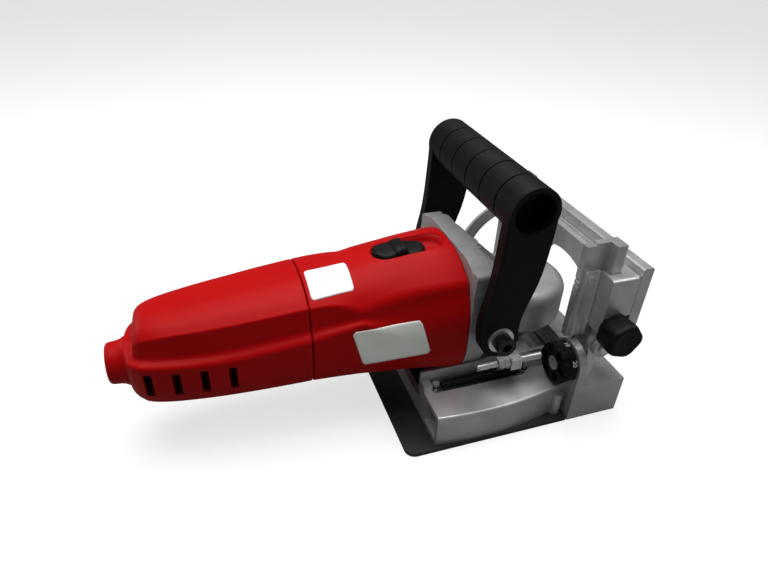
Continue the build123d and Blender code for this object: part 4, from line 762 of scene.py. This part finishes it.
def coil(name, start, end, radius, wire, turns, hook_gap, node_name):
    """A helical spring from start to end; a gap of 0 leaves the hooks out."""
    per_turn, wire_steps = 20, 8
    start, end = Vector(start), Vector(end)
    along = (end - start).normalized()
    side = Vector((0, 0, 1))
    across = along.cross(side)
    path = []
    for step in range(turns * per_turn + 1):
        angle = 2 * math.pi * step / per_turn
        out = side * math.cos(angle) + across * math.sin(angle)
        path.append(start.lerp(end, step / (turns * per_turn)) + out * radius)
    if hook_gap:
        rear, front = start - along * hook_gap, end + along * hook_gap
        path = hook(rear, -along, across)[::-1] + path + hook(front, along, across)
    verts = []
    for i, point in enumerate(path):
        tangent = (path[min(i + 1, len(path) - 1)] - path[max(i - 1, 0)]).normalized()
        normal = tangent.cross(along)
        normal = normal.normalized() if normal.length > TINY else side
        other = tangent.cross(normal)
        for angle in full_turn(wire_steps):
            verts.append(tuple(point + (normal * math.cos(angle) + other * math.sin(angle)) * wire))
    faces = tube_faces(len(path), wire_steps) + end_faces(len(path), wire_steps)
    made = piece(name, verts, faces, "spring_steel", None, [node_name])
    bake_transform(made)
    return made


RETURN_REAR, RETURN_FRONT, RETURN_Y, RETURN_Z = -72.5, -12.5, 42.2, 26.6
LOCK_INNER, LOCK_OUTER, LOCK_Z = 35.6, 41.7, 62.5
for hand, side in (("right", -1), ("left", 1)):
    rear_end, front_end = ((x, side * RETURN_Y, RETURN_Z) for x in (RETURN_REAR, RETURN_FRONT))
    coil(f"{hand}_return_coil", rear_end, front_end, radius=3.0, wire=0.55, turns=44, hook_gap=4.5,
         node_name=f"{hand}_return_spring")
coil("lock_coil", (0, LOCK_INNER, LOCK_Z), (0, LOCK_OUTER, LOCK_Z), radius=4.2, wire=0.4, turns=4, hook_gap=0,
     node_name="lock_spring")


# ---------------------------------------------------------------- dial numbers
DIAL_NUMBERS = ("0", "10", "20", "1", "2", "3")
NUMBER_CENTRE, NUMBER_RADIUS = Vector((9.9, -59.0, 43.0)), 14.55
NUMBER_SIZE, NUMBER_DEPTH = 4.6, 0.06


def rim_number(text, degrees):
    """A painted number standing on the rim of the dial, read from behind."""
    curve = bpy.data.curves.new(f"dial_number_{text}", "FONT")
    curve.body = text
    curve.size = NUMBER_SIZE * MM
    curve.extrude = NUMBER_DEPTH * MM
    curve.align_x = "CENTER"
    curve.align_y = "CENTER"
    curve.materials.append(MATERIALS["dial_ink"])
    obj = new_object(f"dial_number_{text}", curve)
    angle = math.radians(degrees)
    out = Vector((0, math.cos(angle), math.sin(angle)))
    upward = Vector((1, 0, 0))
    facing = Matrix((upward.cross(out), upward, out)).transposed().to_4x4()
    obj.matrix_world = Matrix.Translation((NUMBER_CENTRE + out * NUMBER_RADIUS) * MM) @ facing
    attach(obj, "dial")


for number_index, number in enumerate(DIAL_NUMBERS):
    rim_number(number, 360.0 / len(DIAL_NUMBERS) * (number_index + 0.5))


# ---------------------------------------------------------------- camera
CAMERA_PLACE = (-0.2155, -0.3129, 0.310)
CAMERA_AZIMUTH, CAMERA_ELEVATION, CAMERA_ROLL = -19.853, 34.022, 2.392  # degrees
SENSOR_WIDTH, LENS = 36.0, 27.75


def photo_camera():
    """The camera fitted to the photo."""
    data = bpy.data.cameras.new("camera")
    data.sensor_width = SENSOR_WIDTH
    data.lens = LENS
    data.clip_start, data.clip_end = 0.01, 20.0
    azimuth, elevation, roll = (math.radians(a) for a in (CAMERA_AZIMUTH, CAMERA_ELEVATION, CAMERA_ROLL))
    level = math.cos(elevation)
    back = Vector((math.sin(azimuth) * level, -math.cos(azimuth) * level, math.sin(elevation)))
    right = (-back).cross(Vector((0, 0, 1))).normalized()
    up = right.cross(-back)
    right_rolled = right * math.cos(roll) + up * math.sin(roll)
    up_rolled = up * math.cos(roll) - right * math.sin(roll)
    facing = Matrix((right_rolled, up_rolled, back)).transposed()
    camera = new_object("camera", data)
    camera.matrix_world = Matrix.Translation(Vector(CAMERA_PLACE)) @ facing.to_4x4()
    return camera


bpy.context.scene.camera = photo_camera()


# ---------------------------------------------------------------- light and floor
SKY_TINT, SKY_LIGHT, SKY_SEEN = (0.96, 0.97, 1.0), 0.16, 0.75
PAPER_TONES, PAPER_GLOW, PAPER_BOUNCE = (0.36, 0.38), 0.68, 0.24
FLOOR_HALF, FLOOR_GAP = 6.0, 0.0002


def studio_world():
    """A pale backdrop to the camera, and a dim light to the object."""
    world = bpy.data.worlds.new("studio")
    world.use_nodes = True
    tree = world.node_tree
    background = tree.nodes["Background"]
    background.inputs["Color"].default_value = (*SKY_TINT, 1.0)
    path = tree.nodes.new("ShaderNodeLightPath")
    strength = range_node(tree, path.outputs["Is Camera Ray"], SKY_LIGHT, SKY_SEEN)
    tree.links.new(strength, background.inputs["Strength"])
    return world


def soft_light(name, place, aim, size, power):
    """A rectangular light aimed at a point."""
    data = bpy.data.lights.new(name, "AREA")
    data.shape = "RECTANGLE"
    data.size, data.size_y = size
    data.energy = power
    light = new_object(name, data)
    light.location = place
    light.rotation_mode = "QUATERNION"
    light.rotation_quaternion = (Vector(aim) - Vector(place)).to_track_quat("-Z", "Y")


def pale_floor():
    """Seen as pale paper, but sends little light back up, as a floor flagged off round the product does."""
    mat = bpy.data.materials.new("floor_paper")
    mat.use_nodes = True
    tree = mat.node_tree
    tree.nodes.clear()
    output, mix = tree.nodes.new("ShaderNodeOutputMaterial"), tree.nodes.new("ShaderNodeMixShader")
    paper, unseen = tree.nodes.new("ShaderNodeBsdfDiffuse"), tree.nodes.new("ShaderNodeBsdfDiffuse")
    glow, seen = tree.nodes.new("ShaderNodeEmission"), tree.nodes.new("ShaderNodeAddShader")
    path = tree.nodes.new("ShaderNodeLightPath")
    cloudy = noise_node(tree, object_coords(tree), 2.0, FINE_DETAIL)
    tree.links.new(tone_node(tree, cloudy, *(grey(tone) for tone in PAPER_TONES)), paper.inputs["Color"])
    glow.inputs["Color"].default_value = (*grey(1.0), 1.0)
    glow.inputs["Strength"].default_value = PAPER_GLOW
    tree.links.new(paper.outputs["BSDF"], seen.inputs[0])
    tree.links.new(glow.outputs["Emission"], seen.inputs[1])
    unseen.inputs["Color"].default_value = (*grey(PAPER_BOUNCE), 1.0)
    tree.links.new(path.outputs["Is Camera Ray"], mix.inputs["Fac"])
    tree.links.new(unseen.outputs["BSDF"], mix.inputs[1])
    tree.links.new(seen.outputs["Shader"], mix.inputs[2])
    tree.links.new(mix.outputs["Shader"], output.inputs["Surface"])
    return mat


bpy.context.scene.world = studio_world()
soft_light("overhead", (-0.15, 0.15, 0.95), (-0.1, 0.0, 0.06), (1.1, 0.8), 13.0)
soft_light("front_edge", (0.75, -0.35, 0.75), (0.02, 0.0, 0.06), (0.35, 0.35), 2.6)
soft_light("rear_edge", (-0.9, 0.5, 0.35), (-0.2, 0.0, 0.08), (0.3, 0.3), 1.2)

floor_mesh = bpy.data.meshes.new("floor")
floor_corners = [(x * FLOOR_HALF, y * FLOOR_HALF, 0) for x, y in ((-1, -1), (1, -1), (1, 1), (-1, 1))]
floor_mesh.from_pydata(floor_corners, [], [[0, 1, 2, 3]])
floor_mesh.materials.append(pale_floor())
floor = new_object("floor", floor_mesh)
floor.location.z = cad_box[0].z - FLOOR_GAP

bpy.context.scene.view_settings.view_transform = "Standard"
